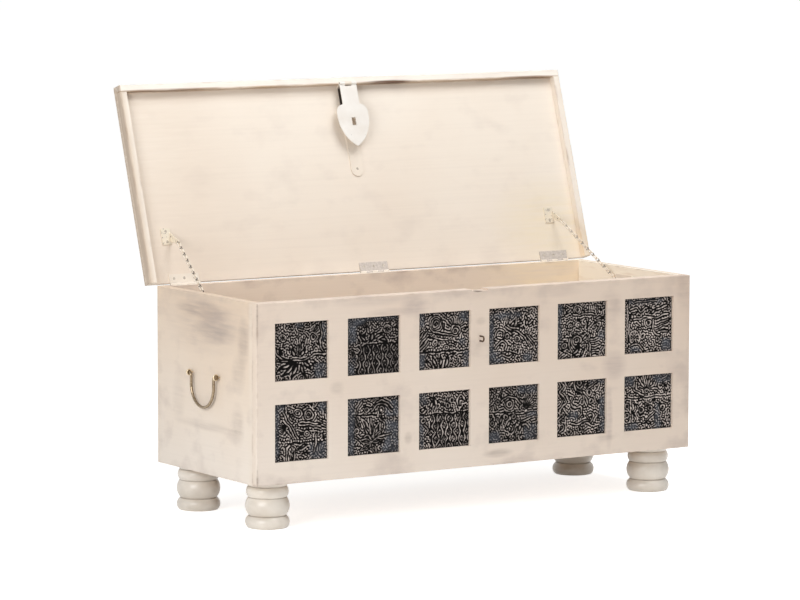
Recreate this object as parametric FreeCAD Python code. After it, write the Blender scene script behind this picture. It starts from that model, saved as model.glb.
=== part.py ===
import FreeCAD, Part
import math
import os

# A storage chest of painted wood on four turned feet, its lid standing open on two chains.
# Millimetres. X runs along the chest, the carved front faces -Y, Z is up.

Vec = FreeCAD.Vector
ALONG_X = Vec(1, 0, 0)
ALONG_Y = Vec(0, 1, 0)
UP = Vec(0, 0, 1)

# Box
BOX_LENGTH = 1060.0
BOX_DEPTH = 400.0
BOX_HEIGHT = 365.0
WALL_T = 20.0
BOTTOM_T = 12.0
BACKING_T = 8.0
EDGE_ROUND = 1.5

# Front frame with its two rows of carved blocks
FRAME_T = 18.0
TOP_RAIL_H = 42.0
MIDDLE_RAIL_H = 46.0
BOTTOM_RAIL_H = 44.0
STILE_W = 42.0
MULLION_W = 45.0
BLOCKS_PER_ROW = 6
BLOCK_RECESS = 5.0
NOTCH_W = 40.0
NOTCH_DEPTH = 4.0

# Turned feet: radius and height of each groove and bead, from the floor up
FOOT_HEIGHT = 94.0
FOOT_INSET_X = 61.0
FOOT_INSET_Y = 62.0
FOOT_BASE_R = 40.0
FOOT_BEAD_R = 45.0
FOOT_TOP_BEAD_R = 43.0
FOOT_LOW_GROOVE_R = 37.5
FOOT_HIGH_GROOVE_R = 39.0
FOOT_LOW_GROOVE_Z = 25.0
FOOT_MIDDLE_GROOVE_Z = 62.0
FOOT_TOP_GROOVE_Z = 84.5
FOOT_BASE_BEAD_Z = 10.0
FOOT_FLANGE_H = 3.0
STUD_R = 4.0
STUD_IN_FOOT = 30.0

# Lid
PANEL_T = 12.0
RIM_T = 15.5
RIM_DROP = 15.0
RIM_CLEAR = 4.5
LID_ROUND = 3.0
LID_OPEN_DEG = 108.0

# Butt hinges
HINGE_INSET = 68.5
LEAF_L = 70.0
LEAF_W = 18.0
LEAF_T = 1.6
LEAF_GAP = 0.3
LEAF_EDGE_CLEAR = 0.3
LEAF_SCREW_STEP = 24.0
KNUCKLES = 5
KNUCKLE_R = 3.0
KNUCKLE_GAP = 0.3
BARREL_CLEAR = 0.3
PIN_R = 1.5
PIN_CLEAR = 0.05

# Countersunk screws
SCREW_R = 1.6
SCREW_HEAD_R = 3.2
SCREW_HEAD_H = 1.6
SCREW_LENGTH = 9.0
SCREW_SLOT_W = 0.8
SCREW_SLOT_DEPTH = 0.6

# Hasp, its strap and the staple that it closes over
PLATE_T = 2.0
STRAP_W = 30.0
STRAP_REACH = 199.0
STRAP_SCREW_END = 16.0
STRAP_SCREW_STEP = 74.0
STRAP_SCREWS = 3
STRAP_WRAP = 12.0
HASP_KNUCKLE_R = 4.0
HASP_BARREL_GAP = 0.3
HASP_BARREL_SET = 0.5
HASP_PIN_R = 1.75
HASP_TONGUE_W = 16.0
HASP_ROOT_CLEAR = 0.4
HASP_ROOT_CUT = 6.5
HASP_NECK_W = 41.0
HASP_NECK_L = 46.0
HASP_LEAF_W = 76.5
HASP_LEAF_L = 138.0
HASP_WIDE_AT = 68.0
HASP_SHOULDER_X_SHARE = 0.7
HASP_SHOULDER_Y_SHARE = 0.25
HASP_FLANK_X_SHARE = 0.82
HASP_FLANK_Y_SHARE = 0.51
HASP_SLOT_W = 10.0
HASP_SLOT_H = 17.0
HASP_SLOT_REACH = 84.0
STAPLE_WIRE_R = 1.75
STAPLE_SPAN = 10.0
STAPLE_STANDOFF = 14.0
STAPLE_DEPTH = 12.0

# Stay chains with their brackets
CHAIN_LID_INSET = 52.0
CHAIN_LID_REACH = 83.0
CHAIN_EYE_STANDOFF = 28.0
CHAIN_WALL_REACH = 169.0
CHAIN_WALL_DROP = 26.0
CHAIN_WALL_GAP = 7.5
CHAIN_WIRE = 2.2
LINK_INNER_W = 4.0
LINK_PLAY = 0.2
LINK_PITCH_AIM = 10.4
HOOK_NEAR_DEG = 150.0
HOOK_FAR_DEG = 125.0
BRACKET_W = 22.0
BRACKET_L = 34.0
BRACKET_RISE = 18.0
BRACKET_ROOT_W = 20.0
BRACKET_LEG_W = 10.0
BRACKET_HOLE_R = 3.0
BRACKET_SCREW_STEP = 22.0
WALL_PLATE_H = 18.0
WALL_PLATE_TO_SCREW = 50.0
STUD_PIN_R = 1.5
STUD_HEAD_R = 2.5
STUD_HEAD_T = 2.0
STUD_LINK_PLAY = 1.4

# Drop handles on the two ends
HANDLE_RISE = 203.0
BAIL_ROD_R = 3.0
BAIL_WIDTH = 90.0
BAIL_DROP = 66.0
BAIL_BEND_R = 6.0
BAIL_HEAD_R = 4.4
BAIL_HEAD_T = 2.5
EYE_WIRE_R = 1.6
EYE_CLEAR = 0.4
EYE_STANDOFF = 9.0
EYE_DEPTH = 12.0
EYE_GAP = 0.9

# Places that follow from the sizes
X_END = BOX_LENGTH / 2
Y_BACK = BOX_DEPTH / 2
Y_FRONT = -Y_BACK
X_IN = X_END - WALL_T
Y_FRAME = Y_FRONT + FRAME_T
Y_LINING = Y_FRAME + BACKING_T
Y_BACK_IN = Y_BACK - WALL_T
Z_LOW = FOOT_HEIGHT
Z_TOP = FOOT_HEIGHT + BOX_HEIGHT

ROW_H = (BOX_HEIGHT - TOP_RAIL_H - MIDDLE_RAIL_H - BOTTOM_RAIL_H) / 2
BLOCK_W = (BOX_LENGTH - 2 * STILE_W - (BLOCKS_PER_ROW - 1) * MULLION_W) / BLOCKS_PER_ROW
BLOCK_STEP = BLOCK_W + MULLION_W
Z_LOWER_ROW = Z_LOW + BOTTOM_RAIL_H
Z_MIDDLE_RAIL = Z_LOWER_ROW + ROW_H
Z_UPPER_ROW = Z_MIDDLE_RAIL + MIDDLE_RAIL_H
Z_TOP_RAIL = Z_UPPER_ROW + ROW_H

AXIS_Y = Y_BACK + BARREL_CLEAR + KNUCKLE_R
AXIS_Z = Z_TOP + LEAF_GAP / 2
UNDER = Z_TOP + LEAF_GAP + LEAF_T
RIM_LOW = UNDER - RIM_DROP
RIM_IN_Y = Y_FRONT - RIM_CLEAR
RIM_IN_X = X_END + RIM_CLEAR
LID_FRONT = RIM_IN_Y - RIM_T
LID_SIDE = RIM_IN_X + RIM_T
HINGE_X = X_END - HINGE_INSET

HASP_Y = RIM_IN_Y - HASP_BARREL_SET
HASP_Z = RIM_LOW - HASP_BARREL_GAP - HASP_KNUCKLE_R
STAPLE_Z = HASP_Z - HASP_SLOT_REACH
EYE_Z = Z_LOW + HANDLE_RISE

PARTS = {}


def block(x0, x1, y0, y1, z0, z1):
    return Part.makeBox(x1 - x0, y1 - y0, z1 - z0, Vec(x0, y0, z0))


def rod(radius, start, end):
    return Part.makeCylinder(radius, (end - start).Length, start, end - start)


def bend(radius, start, centre, axis, turn):
    """A round bar that starts at a point and turns about a centre, by the right-hand rule."""
    tangent = axis.cross(start - centre)
    disc = Part.Face(Part.Wire(Part.makeCircle(radius, start, tangent)))
    return disc.revolve(centre, axis, turn)


def joined(pieces):
    whole = pieces[0].fuse(pieces[1:]).removeSplitter()
    return whole.Solids[0]


def edges_on(shape, x=None, y=None, z=None):
    """The edges whose ends all lie at the given x, y or z."""
    found = []
    for edge in shape.Edges:
        ends = [v.Point for v in edge.Vertexes]
        near_x = x is None or all(abs(p.x - x) < 1e-4 for p in ends)
        near_y = y is None or all(abs(p.y - y) < 1e-4 for p in ends)
        near_z = z is None or all(abs(p.z - z) < 1e-4 for p in ends)
        if near_x and near_y and near_z:
            found.append(edge)
    return found


def opened(shape):
    """A lid piece drawn closed, turned up to where the lid stands open."""
    turned = shape.copy()
    turned.rotate(Vec(0, AXIS_Y, AXIS_Z), ALONG_X, -LID_OPEN_DEG)
    return turned


def screw(seat, out):
    """A countersunk screw whose flat head lies at the seat and faces out."""
    head = Part.makeCone(SCREW_HEAD_R, SCREW_R, SCREW_HEAD_H, Vec(), -UP)
    shank = rod(SCREW_R, Vec(0, 0, -SCREW_HEAD_H), Vec(0, 0, -SCREW_LENGTH))
    whole = joined([head, shank])
    whole.Placement = FreeCAD.Placement(seat, FreeCAD.Rotation(UP, out))
    return whole


def slotted(whole):
    """The same screw with the driver slot cut in its head."""
    half = SCREW_SLOT_W / 2
    slot = block(-SCREW_HEAD_R, SCREW_HEAD_R, -half, half, -SCREW_SLOT_DEPTH, SCREW_SLOT_DEPTH)
    slot.Placement = whole.Placement
    return whole.cut(slot)


def without(shape, tools):
    for tool in tools:
        shape = shape.cut(tool)
    return shape


def mirrored(shape):
    return shape.mirror(Vec(), ALONG_X)


# Butt hinges

def knuckle_spans(x_mid, numbers):
    step = LEAF_L / KNUCKLES
    left = x_mid - LEAF_L / 2
    spans = []
    for number in numbers:
        start = left + number * step
        end = start + step
        if number > 0:
            start = start + KNUCKLE_GAP / 2
        if number < KNUCKLES - 1:
            end = end - KNUCKLE_GAP / 2
        spans.append((start, end))
    return spans


def hinge_leaf(x_mid, z0, numbers, bore_r):
    """A flat leaf with knuckles on the hinge axis, its plate from z0 up."""
    edge_y = Y_BACK - LEAF_EDGE_CLEAR
    pieces = [block(x_mid - LEAF_L / 2, x_mid + LEAF_L / 2, Y_BACK - LEAF_W, edge_y, z0, z0 + LEAF_T)]
    for start, end in knuckle_spans(x_mid, numbers):
        pieces.append(rod(KNUCKLE_R, Vec(start, AXIS_Y, AXIS_Z), Vec(end, AXIS_Y, AXIS_Z)))
        pieces.append(block(start, end, edge_y, AXIS_Y, z0, z0 + LEAF_T))
    leaf = joined(pieces)
    reach = LEAF_L
    bore = rod(bore_r, Vec(x_mid - reach, AXIS_Y, AXIS_Z), Vec(x_mid + reach, AXIS_Y, AXIS_Z))
    return leaf.cut(bore)


def leaf_screws(x_mid, z, out):
    y = Y_BACK - LEAF_W / 2
    return [screw(Vec(x_mid + i * LEAF_SCREW_STEP, y, z), out) for i in (-1, 0, 1)]


box_screws = []
lid_screws = []
hinge_pins = []
box_leaf_beds = []
for name, x_mid in (("left", -HINGE_X), ("middle", 0.0), ("right", HINGE_X)):
    on_box = leaf_screws(x_mid, Z_TOP, UP)
    on_lid = leaf_screws(x_mid, Z_TOP + LEAF_GAP, -UP)
    box_screws = box_screws + on_box
    lid_screws = lid_screws + on_lid
    box_leaf = hinge_leaf(x_mid, Z_TOP - LEAF_T, range(0, KNUCKLES, 2), PIN_R)
    lid_leaf = hinge_leaf(x_mid, Z_TOP + LEAF_GAP, range(1, KNUCKLES, 2), PIN_R + PIN_CLEAR)
    PARTS["hinge_" + name + "_box_leaf"] = without(box_leaf, on_box)
    PARTS["hinge_" + name + "_lid_leaf"] = opened(without(lid_leaf, on_lid))
    half = LEAF_L / 2
    hinge_pins.append(rod(PIN_R, Vec(x_mid - half, AXIS_Y, AXIS_Z), Vec(x_mid + half, AXIS_Y, AXIS_Z)))
    box_leaf_beds.append(block(x_mid - half, x_mid + half, Y_BACK - LEAF_W, Y_BACK, Z_TOP - LEAF_T, Z_TOP))
PARTS["hinge_pins"] = Part.makeCompound(hinge_pins)


# Lid, drawn closed

def half_outline(points):
    """A flat plate outline in X and Y, mirrored about X = 0, from straight runs and arcs of three points."""
    edges = []
    for run in points:
        for side in (1, -1):
            ends = [Vec(side * x, y, 0) for x, y in run]
            if len(ends) == 3:
                edges.append(Part.Arc(ends[0], ends[1], ends[2]).toShape())
            else:
                edges.append(Part.makeLine(ends[0], ends[1]))
    return Part.Face(Part.Wire(Part.__sortEdges__(edges)))


panel = block(-LID_SIDE, LID_SIDE, LID_FRONT, Y_BACK, UNDER, UNDER + PANEL_T)
panel_edges = edges_on(panel, y=LID_FRONT, z=UNDER + PANEL_T)
for side in (-LID_SIDE, LID_SIDE):
    panel_edges = panel_edges + edges_on(panel, x=side, z=UNDER + PANEL_T)
    panel_edges = panel_edges + edges_on(panel, x=side, y=LID_FRONT)
panel = panel.makeFillet(LID_ROUND, panel_edges)

front_rim = block(-LID_SIDE, LID_SIDE, LID_FRONT, RIM_IN_Y, RIM_LOW, UNDER)
rim_edges = edges_on(front_rim, y=LID_FRONT, z=RIM_LOW)
for side in (-LID_SIDE, LID_SIDE):
    rim_edges = rim_edges + edges_on(front_rim, x=side, z=RIM_LOW)
    rim_edges = rim_edges + edges_on(front_rim, x=side, y=LID_FRONT)
front_rim = front_rim.makeFillet(LID_ROUND, rim_edges)

right_rim = block(RIM_IN_X, LID_SIDE, RIM_IN_Y, Y_BACK, RIM_LOW, UNDER)
right_rim = right_rim.makeFillet(LID_ROUND, edges_on(right_rim, x=LID_SIDE, z=RIM_LOW))

# Strap: along the panel, up the front rim's inner face, and round the hasp's pin
strap_end = RIM_IN_Y + STRAP_REACH
strap_half = STRAP_W / 2
tail_y = strap_end - strap_half
strap_flat = half_outline([
    [(0, RIM_IN_Y), (strap_half, RIM_IN_Y)],
    [(strap_half, RIM_IN_Y), (strap_half, tail_y)],
    [(strap_half, tail_y), (strap_half * math.sqrt(0.5), tail_y + strap_half * math.sqrt(0.5)), (0, strap_end)],
])
strap_flat.translate(Vec(0, 0, UNDER - PLATE_T))
strap_back = RIM_IN_Y + PLATE_T
tongue_half = HASP_TONGUE_W / 2
strap = joined([
    strap_flat.extrude(Vec(0, 0, PLATE_T)),
    block(-strap_half, strap_half, RIM_IN_Y, strap_back, UNDER - STRAP_WRAP, UNDER),
    block(-tongue_half, tongue_half, RIM_IN_Y, strap_back, HASP_Z, UNDER - STRAP_WRAP),
    rod(HASP_KNUCKLE_R, Vec(-tongue_half, HASP_Y, HASP_Z), Vec(tongue_half, HASP_Y, HASP_Z)),
])
neck_half = HASP_NECK_W / 2
hasp_pin = rod(HASP_PIN_R, Vec(-neck_half, HASP_Y, HASP_Z), Vec(neck_half, HASP_Y, HASP_Z))
strap = strap.cut(hasp_pin)
strap_screws = []
for number in range(STRAP_SCREWS):
    seat_y = strap_end - STRAP_SCREW_END - number * STRAP_SCREW_STEP
    strap_screws.append(screw(Vec(0, seat_y, UNDER - PLATE_T), -UP))
lid_screws = lid_screws + strap_screws

# Hasp leaf: a spade on a neck, drawn lying along the closed lid
wide_half = HASP_LEAF_W / 2
shoulder_x = neck_half + HASP_SHOULDER_X_SHARE * (wide_half - neck_half)
shoulder_y = HASP_NECK_L + HASP_SHOULDER_Y_SHARE * (HASP_WIDE_AT - HASP_NECK_L)
flank_x = HASP_FLANK_X_SHARE * wide_half
flank_y = HASP_WIDE_AT + HASP_FLANK_Y_SHARE * (HASP_LEAF_L - HASP_WIDE_AT)
leaf_face = half_outline([
    [(0, 0), (neck_half, 0)],
    [(neck_half, 0), (neck_half, HASP_NECK_L)],
    [(neck_half, HASP_NECK_L), (shoulder_x, shoulder_y), (wide_half, HASP_WIDE_AT)],
    [(wide_half, HASP_WIDE_AT), (flank_x, flank_y), (0, HASP_LEAF_L)],
])
leaf_face.translate(Vec(0, HASP_Y, HASP_Z - PLATE_T / 2))
root_half = tongue_half + HASP_ROOT_CLEAR
hasp_barrel = rod(HASP_KNUCKLE_R, hasp_pin.BoundBox.Center - Vec(neck_half, 0, 0),
                  hasp_pin.BoundBox.Center + Vec(neck_half, 0, 0))
root_cut = block(-root_half, root_half, HASP_Y - HASP_ROOT_CUT, HASP_Y + HASP_ROOT_CUT,
                 HASP_Z - HASP_ROOT_CUT, HASP_Z + HASP_ROOT_CUT)
slot_half = HASP_SLOT_W / 2
slot_y = HASP_Y + HASP_SLOT_REACH
slot_cut = block(-slot_half, slot_half, slot_y - HASP_SLOT_H / 2, slot_y + HASP_SLOT_H / 2,
                 HASP_Z - PLATE_T, HASP_Z + PLATE_T)
pin_bore = rod(HASP_PIN_R + PIN_CLEAR, Vec(-wide_half, HASP_Y, HASP_Z), Vec(wide_half, HASP_Y, HASP_Z))
hasp_leaf = joined([leaf_face.extrude(Vec(0, 0, PLATE_T)), hasp_barrel])
hasp_leaf = without(hasp_leaf, [root_cut, slot_cut, pin_bore])

# Chain brackets on the lid: a plate with a leg that leans out and holds the chain's last link
eye_y = AXIS_Y - CHAIN_LID_REACH
eye_z = UNDER - CHAIN_EYE_STANDOFF
leg_half = BRACKET_LEG_W / 2
plate_y = eye_y - BRACKET_RISE
leg_root = BRACKET_ROOT_W / 2
for side, x_eye in (("left", CHAIN_LID_INSET - X_END), ("right", X_END - CHAIN_LID_INSET)):
    x0 = x_eye - PLATE_T / 2
    x1 = x_eye + PLATE_T / 2
    plate = block(x1 - BRACKET_W, x1, plate_y - BRACKET_L / 2, plate_y + BRACKET_L / 2, UNDER - PLATE_T, UNDER)
    leg_corners = [Vec(x0, plate_y - leg_root, UNDER), Vec(x0, plate_y + leg_root, UNDER),
                   Vec(x0, eye_y + leg_half, eye_z), Vec(x0, eye_y - leg_half, eye_z)]
    leg = Part.Face(Part.makePolygon(leg_corners + leg_corners[:1])).extrude(Vec(x1 - x0, 0, 0))
    tip = rod(leg_half, Vec(x0, eye_y, eye_z), Vec(x1, eye_y, eye_z))
    hole = rod(BRACKET_HOLE_R, Vec(x0 - PLATE_T, eye_y, eye_z), Vec(x1 + PLATE_T, eye_y, eye_z))
    bracket = joined([plate, leg, tip]).cut(hole)
    seats = [Vec(x1 - BRACKET_W / 2, plate_y + i * BRACKET_SCREW_STEP / 2, UNDER - PLATE_T) for i in (-1, 1)]
    bracket_screws = [screw(seat, -UP) for seat in seats]
    lid_screws = lid_screws + bracket_screws
    PARTS["chain_" + side + "_lid_bracket"] = opened(without(bracket, bracket_screws))

PARTS["lid_panel"] = opened(without(panel, lid_screws))
PARTS["lid_front_rim"] = opened(front_rim)
PARTS["lid_right_rim"] = opened(right_rim)
PARTS["lid_left_rim"] = opened(mirrored(right_rim))
PARTS["hasp_strap"] = opened(without(strap, strap_screws))
PARTS["hasp_pin"] = opened(hasp_pin)
PARTS["hasp_leaf"] = opened(hasp_leaf)
PARTS["lid_screws"] = opened(Part.makeCompound([slotted(s) for s in lid_screws]))


# Stay chains, drawn taut between the wall stud and the open lid's bracket

LINK_R = (LINK_INNER_W + CHAIN_WIRE) / 2
WIRE_R = CHAIN_WIRE / 2


def link(reach, hooked):
    """A chain link in X and Y, its near end round the origin; a hooked one is open on its +Y side."""
    far = Vec(reach, 0, 0)
    low = Vec(0, -LINK_R, 0)
    pieces = [rod(WIRE_R, low, far + low)]
    if hooked:
        pieces.append(bend(WIRE_R, far + low, far, UP, HOOK_FAR_DEG))
        pieces.append(bend(WIRE_R, low, Vec(), -UP, HOOK_NEAR_DEG))
    else:
        pieces.append(bend(WIRE_R, far + low, far, UP, 180))
        pieces.append(bend(WIRE_R, low, Vec(), -UP, 180))
        pieces.append(rod(WIRE_R, -low, far - low))
    return joined(pieces)


def chain(start, end):
    """Links in a straight row from the stud at start to the bracket hole at end."""
    along = end - start
    length = along.Length
    along.normalize()
    across = ALONG_X.cross(along)
    across.normalize()
    flat = along.cross(across)
    count = 2 * round(length / LINK_PITCH_AIM / 2)
    pitch = (length - LINK_PLAY + LINK_INNER_W / 2 - WIRE_R) / count
    reach = pitch + LINK_PLAY - LINK_INNER_W
    links = []
    for number in range(count):
        one = link(reach, number == 0)
        wide, normal = across, flat
        if number % 2:
            wide, normal = flat, -across
        turn = FreeCAD.Rotation(along, wide, normal, "XYZ")
        one.Placement = FreeCAD.Placement(start + along * (number * pitch), turn)
        links.append(one)
    return Part.makeCompound(links), count, pitch


lid_eye = Part.Vertex(X_END - CHAIN_LID_INSET, eye_y, eye_z)
lid_eye = opened(lid_eye).Point
stud_y = AXIS_Y - CHAIN_WALL_REACH
stud_z = Z_TOP - CHAIN_WALL_DROP
stud_x = X_IN - CHAIN_WALL_GAP
right_chain, link_count, link_pitch = chain(Vec(stud_x, stud_y, stud_z), lid_eye)
PARTS["chain_right"] = right_chain
PARTS["chain_left"] = mirrored(right_chain)

plate_x = X_IN - PLATE_T
head_x = stud_x - WIRE_R - STUD_LINK_PLAY
plate_half = WALL_PLATE_H / 2
screw_y = stud_y - WALL_PLATE_TO_SCREW
wall_plate = joined([
    block(plate_x, X_IN, screw_y, stud_y, stud_z - plate_half, stud_z + plate_half),
    rod(plate_half, Vec(plate_x, screw_y, stud_z), Vec(X_IN, screw_y, stud_z)),
    rod(plate_half, Vec(plate_x, stud_y, stud_z), Vec(X_IN, stud_y, stud_z)),
    rod(STUD_PIN_R, Vec(head_x, stud_y, stud_z), Vec(plate_x, stud_y, stud_z)),
    rod(STUD_HEAD_R, Vec(head_x - STUD_HEAD_T, stud_y, stud_z), Vec(head_x, stud_y, stud_z)),
])
wall_screw = screw(Vec(plate_x, screw_y, stud_z), -ALONG_X)
wall_plate = wall_plate.cut(wall_screw)
PARTS["chain_right_wall_bracket"] = wall_plate
PARTS["chain_left_wall_bracket"] = mirrored(wall_plate)


# Drop handles

EYE_RING_R = BAIL_ROD_R + EYE_CLEAR + EYE_WIRE_R
bail_half = BAIL_WIDTH / 2
bail_x = X_END + EYE_STANDOFF
eye_mid = bail_half + BAIL_BEND_R + EYE_GAP + EYE_WIRE_R
head_y = eye_mid + EYE_WIRE_R + EYE_GAP


def bail_point(y, z):
    return Vec(bail_x, y, EYE_Z + z)


def bail_half_shape():
    leg_low = bail_half - BAIL_DROP
    return [
        rod(BAIL_ROD_R, bail_point(head_y, 0), bail_point(bail_half + BAIL_BEND_R, 0)),
        bend(BAIL_ROD_R, bail_point(bail_half + BAIL_BEND_R, 0),
             bail_point(bail_half + BAIL_BEND_R, -BAIL_BEND_R), ALONG_X, 90),
        rod(BAIL_ROD_R, bail_point(bail_half, -BAIL_BEND_R), bail_point(bail_half, leg_low)),
        bend(BAIL_ROD_R, bail_point(bail_half, leg_low), bail_point(0, leg_low), -ALONG_X, 90),
        rod(BAIL_HEAD_R, bail_point(head_y, 0), bail_point(head_y + BAIL_HEAD_T, 0)),
    ]


bail_side = bail_half_shape()
bail = joined(bail_side + [piece.mirror(Vec(), ALONG_Y) for piece in bail_side])
eyes = []
for y in (-eye_mid, eye_mid):
    ring = Part.makeTorus(EYE_RING_R, EYE_WIRE_R, bail_point(y, 0), ALONG_Y)
    shank_tip = Vec(X_END - EYE_DEPTH, y, EYE_Z)
    eyes.append(joined([ring, rod(EYE_WIRE_R, bail_point(y, 0) - Vec(EYE_RING_R, 0, 0), shank_tip)]))
PARTS["handle_right_bail"] = bail
PARTS["handle_left_bail"] = mirrored(bail)
PARTS["handle_right_eyes"] = Part.makeCompound(eyes)
PARTS["handle_left_eyes"] = mirrored(Part.makeCompound(eyes))


# Staple on the middle mullion

staple_half = STAPLE_SPAN / 2
staple_legs = STAPLE_STANDOFF - staple_half
staple_front = Y_FRONT - staple_legs
staple = joined([
    rod(STAPLE_WIRE_R, Vec(0, Y_FRONT + STAPLE_DEPTH, STAPLE_Z + staple_half),
        Vec(0, staple_front, STAPLE_Z + staple_half)),
    bend(STAPLE_WIRE_R, Vec(0, staple_front, STAPLE_Z + staple_half), Vec(0, staple_front, STAPLE_Z),
         ALONG_X, 180),
    rod(STAPLE_WIRE_R, Vec(0, staple_front, STAPLE_Z - staple_half),
        Vec(0, Y_FRONT + STAPLE_DEPTH, STAPLE_Z - staple_half)),
])
PARTS["lock_staple"] = staple


# Box

right_wall = block(X_IN, X_END, Y_FRAME, Y_BACK, Z_LOW, Z_TOP)
wall_edges = edges_on(right_wall, x=X_END, z=Z_TOP) + edges_on(right_wall, x=X_END, y=Y_BACK)
right_wall = right_wall.makeFillet(EDGE_ROUND, wall_edges)
right_wall = without(right_wall, eyes + [wall_screw])
PARTS["right_side_wall"] = right_wall
PARTS["left_side_wall"] = mirrored(right_wall)

back_wall = block(-X_IN, X_IN, Y_BACK_IN, Y_BACK, Z_LOW, Z_TOP)
PARTS["back_wall"] = without(back_wall, box_leaf_beds + box_screws)

notch = block(-NOTCH_W / 2, NOTCH_W / 2, Y_FRONT, Y_LINING, Z_TOP - NOTCH_DEPTH, Z_TOP)
lining = block(-X_IN, X_IN, Y_FRAME, Y_LINING, Z_LOW, Z_TOP)
PARTS["front_lining_board"] = lining.cut(notch)

top_rail = block(-X_END, X_END, Y_FRONT, Y_FRAME, Z_TOP_RAIL, Z_TOP)
rail_edges = edges_on(top_rail, y=Y_FRONT, z=Z_TOP)
for side in (-X_END, X_END):
    rail_edges = rail_edges + edges_on(top_rail, x=side, y=Y_FRONT) + edges_on(top_rail, x=side, z=Z_TOP)
PARTS["front_top_rail"] = top_rail.makeFillet(EDGE_ROUND, rail_edges).cut(notch)

bottom_rail = block(-X_END, X_END, Y_FRONT, Y_FRAME, Z_LOW, Z_LOWER_ROW)
rail_edges = []
for side in (-X_END, X_END):
    rail_edges = rail_edges + edges_on(bottom_rail, x=side, y=Y_FRONT)
PARTS["front_bottom_rail"] = bottom_rail.makeFillet(EDGE_ROUND, rail_edges)

right_stile = block(X_END - STILE_W, X_END, Y_FRONT, Y_FRAME, Z_LOWER_ROW, Z_TOP_RAIL)
right_stile = right_stile.makeFillet(EDGE_ROUND, edges_on(right_stile, x=X_END, y=Y_FRONT))
PARTS["front_right_stile"] = right_stile
PARTS["front_left_stile"] = mirrored(right_stile)
x_stile = X_END - STILE_W
PARTS["front_middle_rail"] = block(-x_stile, x_stile, Y_FRONT, Y_FRAME, Z_MIDDLE_RAIL, Z_UPPER_ROW)

for row, z0 in (("upper", Z_UPPER_ROW), ("lower", Z_LOWER_ROW)):
    mullions = []
    for number in range(BLOCKS_PER_ROW):
        x0 = -x_stile + number * BLOCK_STEP
        carved = block(x0, x0 + BLOCK_W, Y_FRONT + BLOCK_RECESS, Y_FRAME, z0, z0 + ROW_H)
        PARTS["carved_block_" + row + "_" + str(number + 1)] = carved
        if number > 0:
            mullion = block(x0 - MULLION_W, x0, Y_FRONT, Y_FRAME, z0, z0 + ROW_H)
            mullions.append(mullion.cut(staple))
    PARTS["front_mullions_" + row] = Part.makeCompound(mullions)

PARTS["box_screws"] = Part.makeCompound([slotted(s) for s in box_screws + [wall_screw, mirrored(wall_screw)]])


# Turned feet

def foot_profile():
    """Half of the foot's section: a base bead, a middle bead, a top bead and a flange, with grooves between."""
    base = Vec(FOOT_BASE_R, 0, 0)
    base_bead = Vec(FOOT_BEAD_R, 0, FOOT_BASE_BEAD_Z)
    low = Vec(FOOT_LOW_GROOVE_R, 0, FOOT_LOW_GROOVE_Z)
    middle = Vec(FOOT_HIGH_GROOVE_R, 0, FOOT_MIDDLE_GROOVE_Z)
    high = Vec(FOOT_HIGH_GROOVE_R, 0, FOOT_TOP_GROOVE_Z)
    middle_bead = Vec(FOOT_BEAD_R, 0, (FOOT_LOW_GROOVE_Z + FOOT_MIDDLE_GROOVE_Z) / 2)
    top_bead = Vec(FOOT_TOP_BEAD_R, 0, (FOOT_MIDDLE_GROOVE_Z + FOOT_TOP_GROOVE_Z) / 2)
    flange = Vec(FOOT_TOP_BEAD_R, 0, FOOT_HEIGHT - FOOT_FLANGE_H)
    rim = Vec(FOOT_TOP_BEAD_R, 0, FOOT_HEIGHT)
    top = Vec(0, 0, FOOT_HEIGHT)
    edges = [
        Part.makeLine(Vec(), base),
        Part.Arc(base, base_bead, low).toShape(),
        Part.Arc(low, middle_bead, middle).toShape(),
        Part.Arc(middle, top_bead, high).toShape(),
        Part.makeLine(high, flange),
        Part.makeLine(flange, rim),
        Part.makeLine(rim, top),
        Part.makeLine(top, Vec()),
    ]
    return Part.Face(Part.Wire(edges))


turned_foot = foot_profile().revolve(Vec(), UP, 360)
bottom_board = block(-X_IN, X_IN, Y_LINING, Y_BACK_IN, Z_LOW, Z_LOW + BOTTOM_T)
foot_studs = []
for end, y in (("front", Y_FRONT + FOOT_INSET_Y), ("back", Y_BACK - FOOT_INSET_Y)):
    for side, x in (("left", FOOT_INSET_X - X_END), ("right", X_END - FOOT_INSET_X)):
        stud = rod(STUD_R, Vec(x, y, Z_LOW - STUD_IN_FOOT), Vec(x, y, Z_LOW + BOTTOM_T))
        foot = turned_foot.copy()
        foot.translate(Vec(x, y, 0))
        PARTS["foot_" + end + "_" + side] = foot.cut(stud)
        bottom_board = bottom_board.cut(stud)
        foot_studs.append(stud)
PARTS["bottom_board"] = bottom_board
PARTS["foot_studs"] = Part.makeCompound(foot_studs)


# The origin goes under the middle of the whole object, from the staple's front to the open lid's top edge
y_mid = (staple.BoundBox.YMin + PARTS["lid_panel"].BoundBox.YMax) / 2
to_origin = Vec(0, -y_mid, 0)

os.makedirs("parts", exist_ok=True)
for name, shape in PARTS.items():
    placed = shape.copy()
    placed.translate(to_origin)
    placed.exportStep("parts/" + name + ".step")

print("nodes", len(PARTS))
print("shift in y", round(to_origin.y, 4))
print("hinge axis y z", round(AXIS_Y - y_mid, 4), round(AXIS_Z, 4))
hasp_axis = opened(Part.Vertex(0, HASP_Y, HASP_Z)).Point
print("hasp axis y z", round(hasp_axis.y - y_mid, 4), round(hasp_axis.z, 4))
print("chain eye x y z", round(lid_eye.x, 4), round(lid_eye.y - y_mid, 4), round(lid_eye.z, 4))
print("chain stud x y z", round(stud_x, 4), round(stud_y - y_mid, 4), round(stud_z, 4))
print("chain links", link_count, "pitch", round(link_pitch, 4))
print("handle axis x y z", round(bail_x, 4), round(-y_mid, 4), round(EYE_Z, 4))
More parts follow.
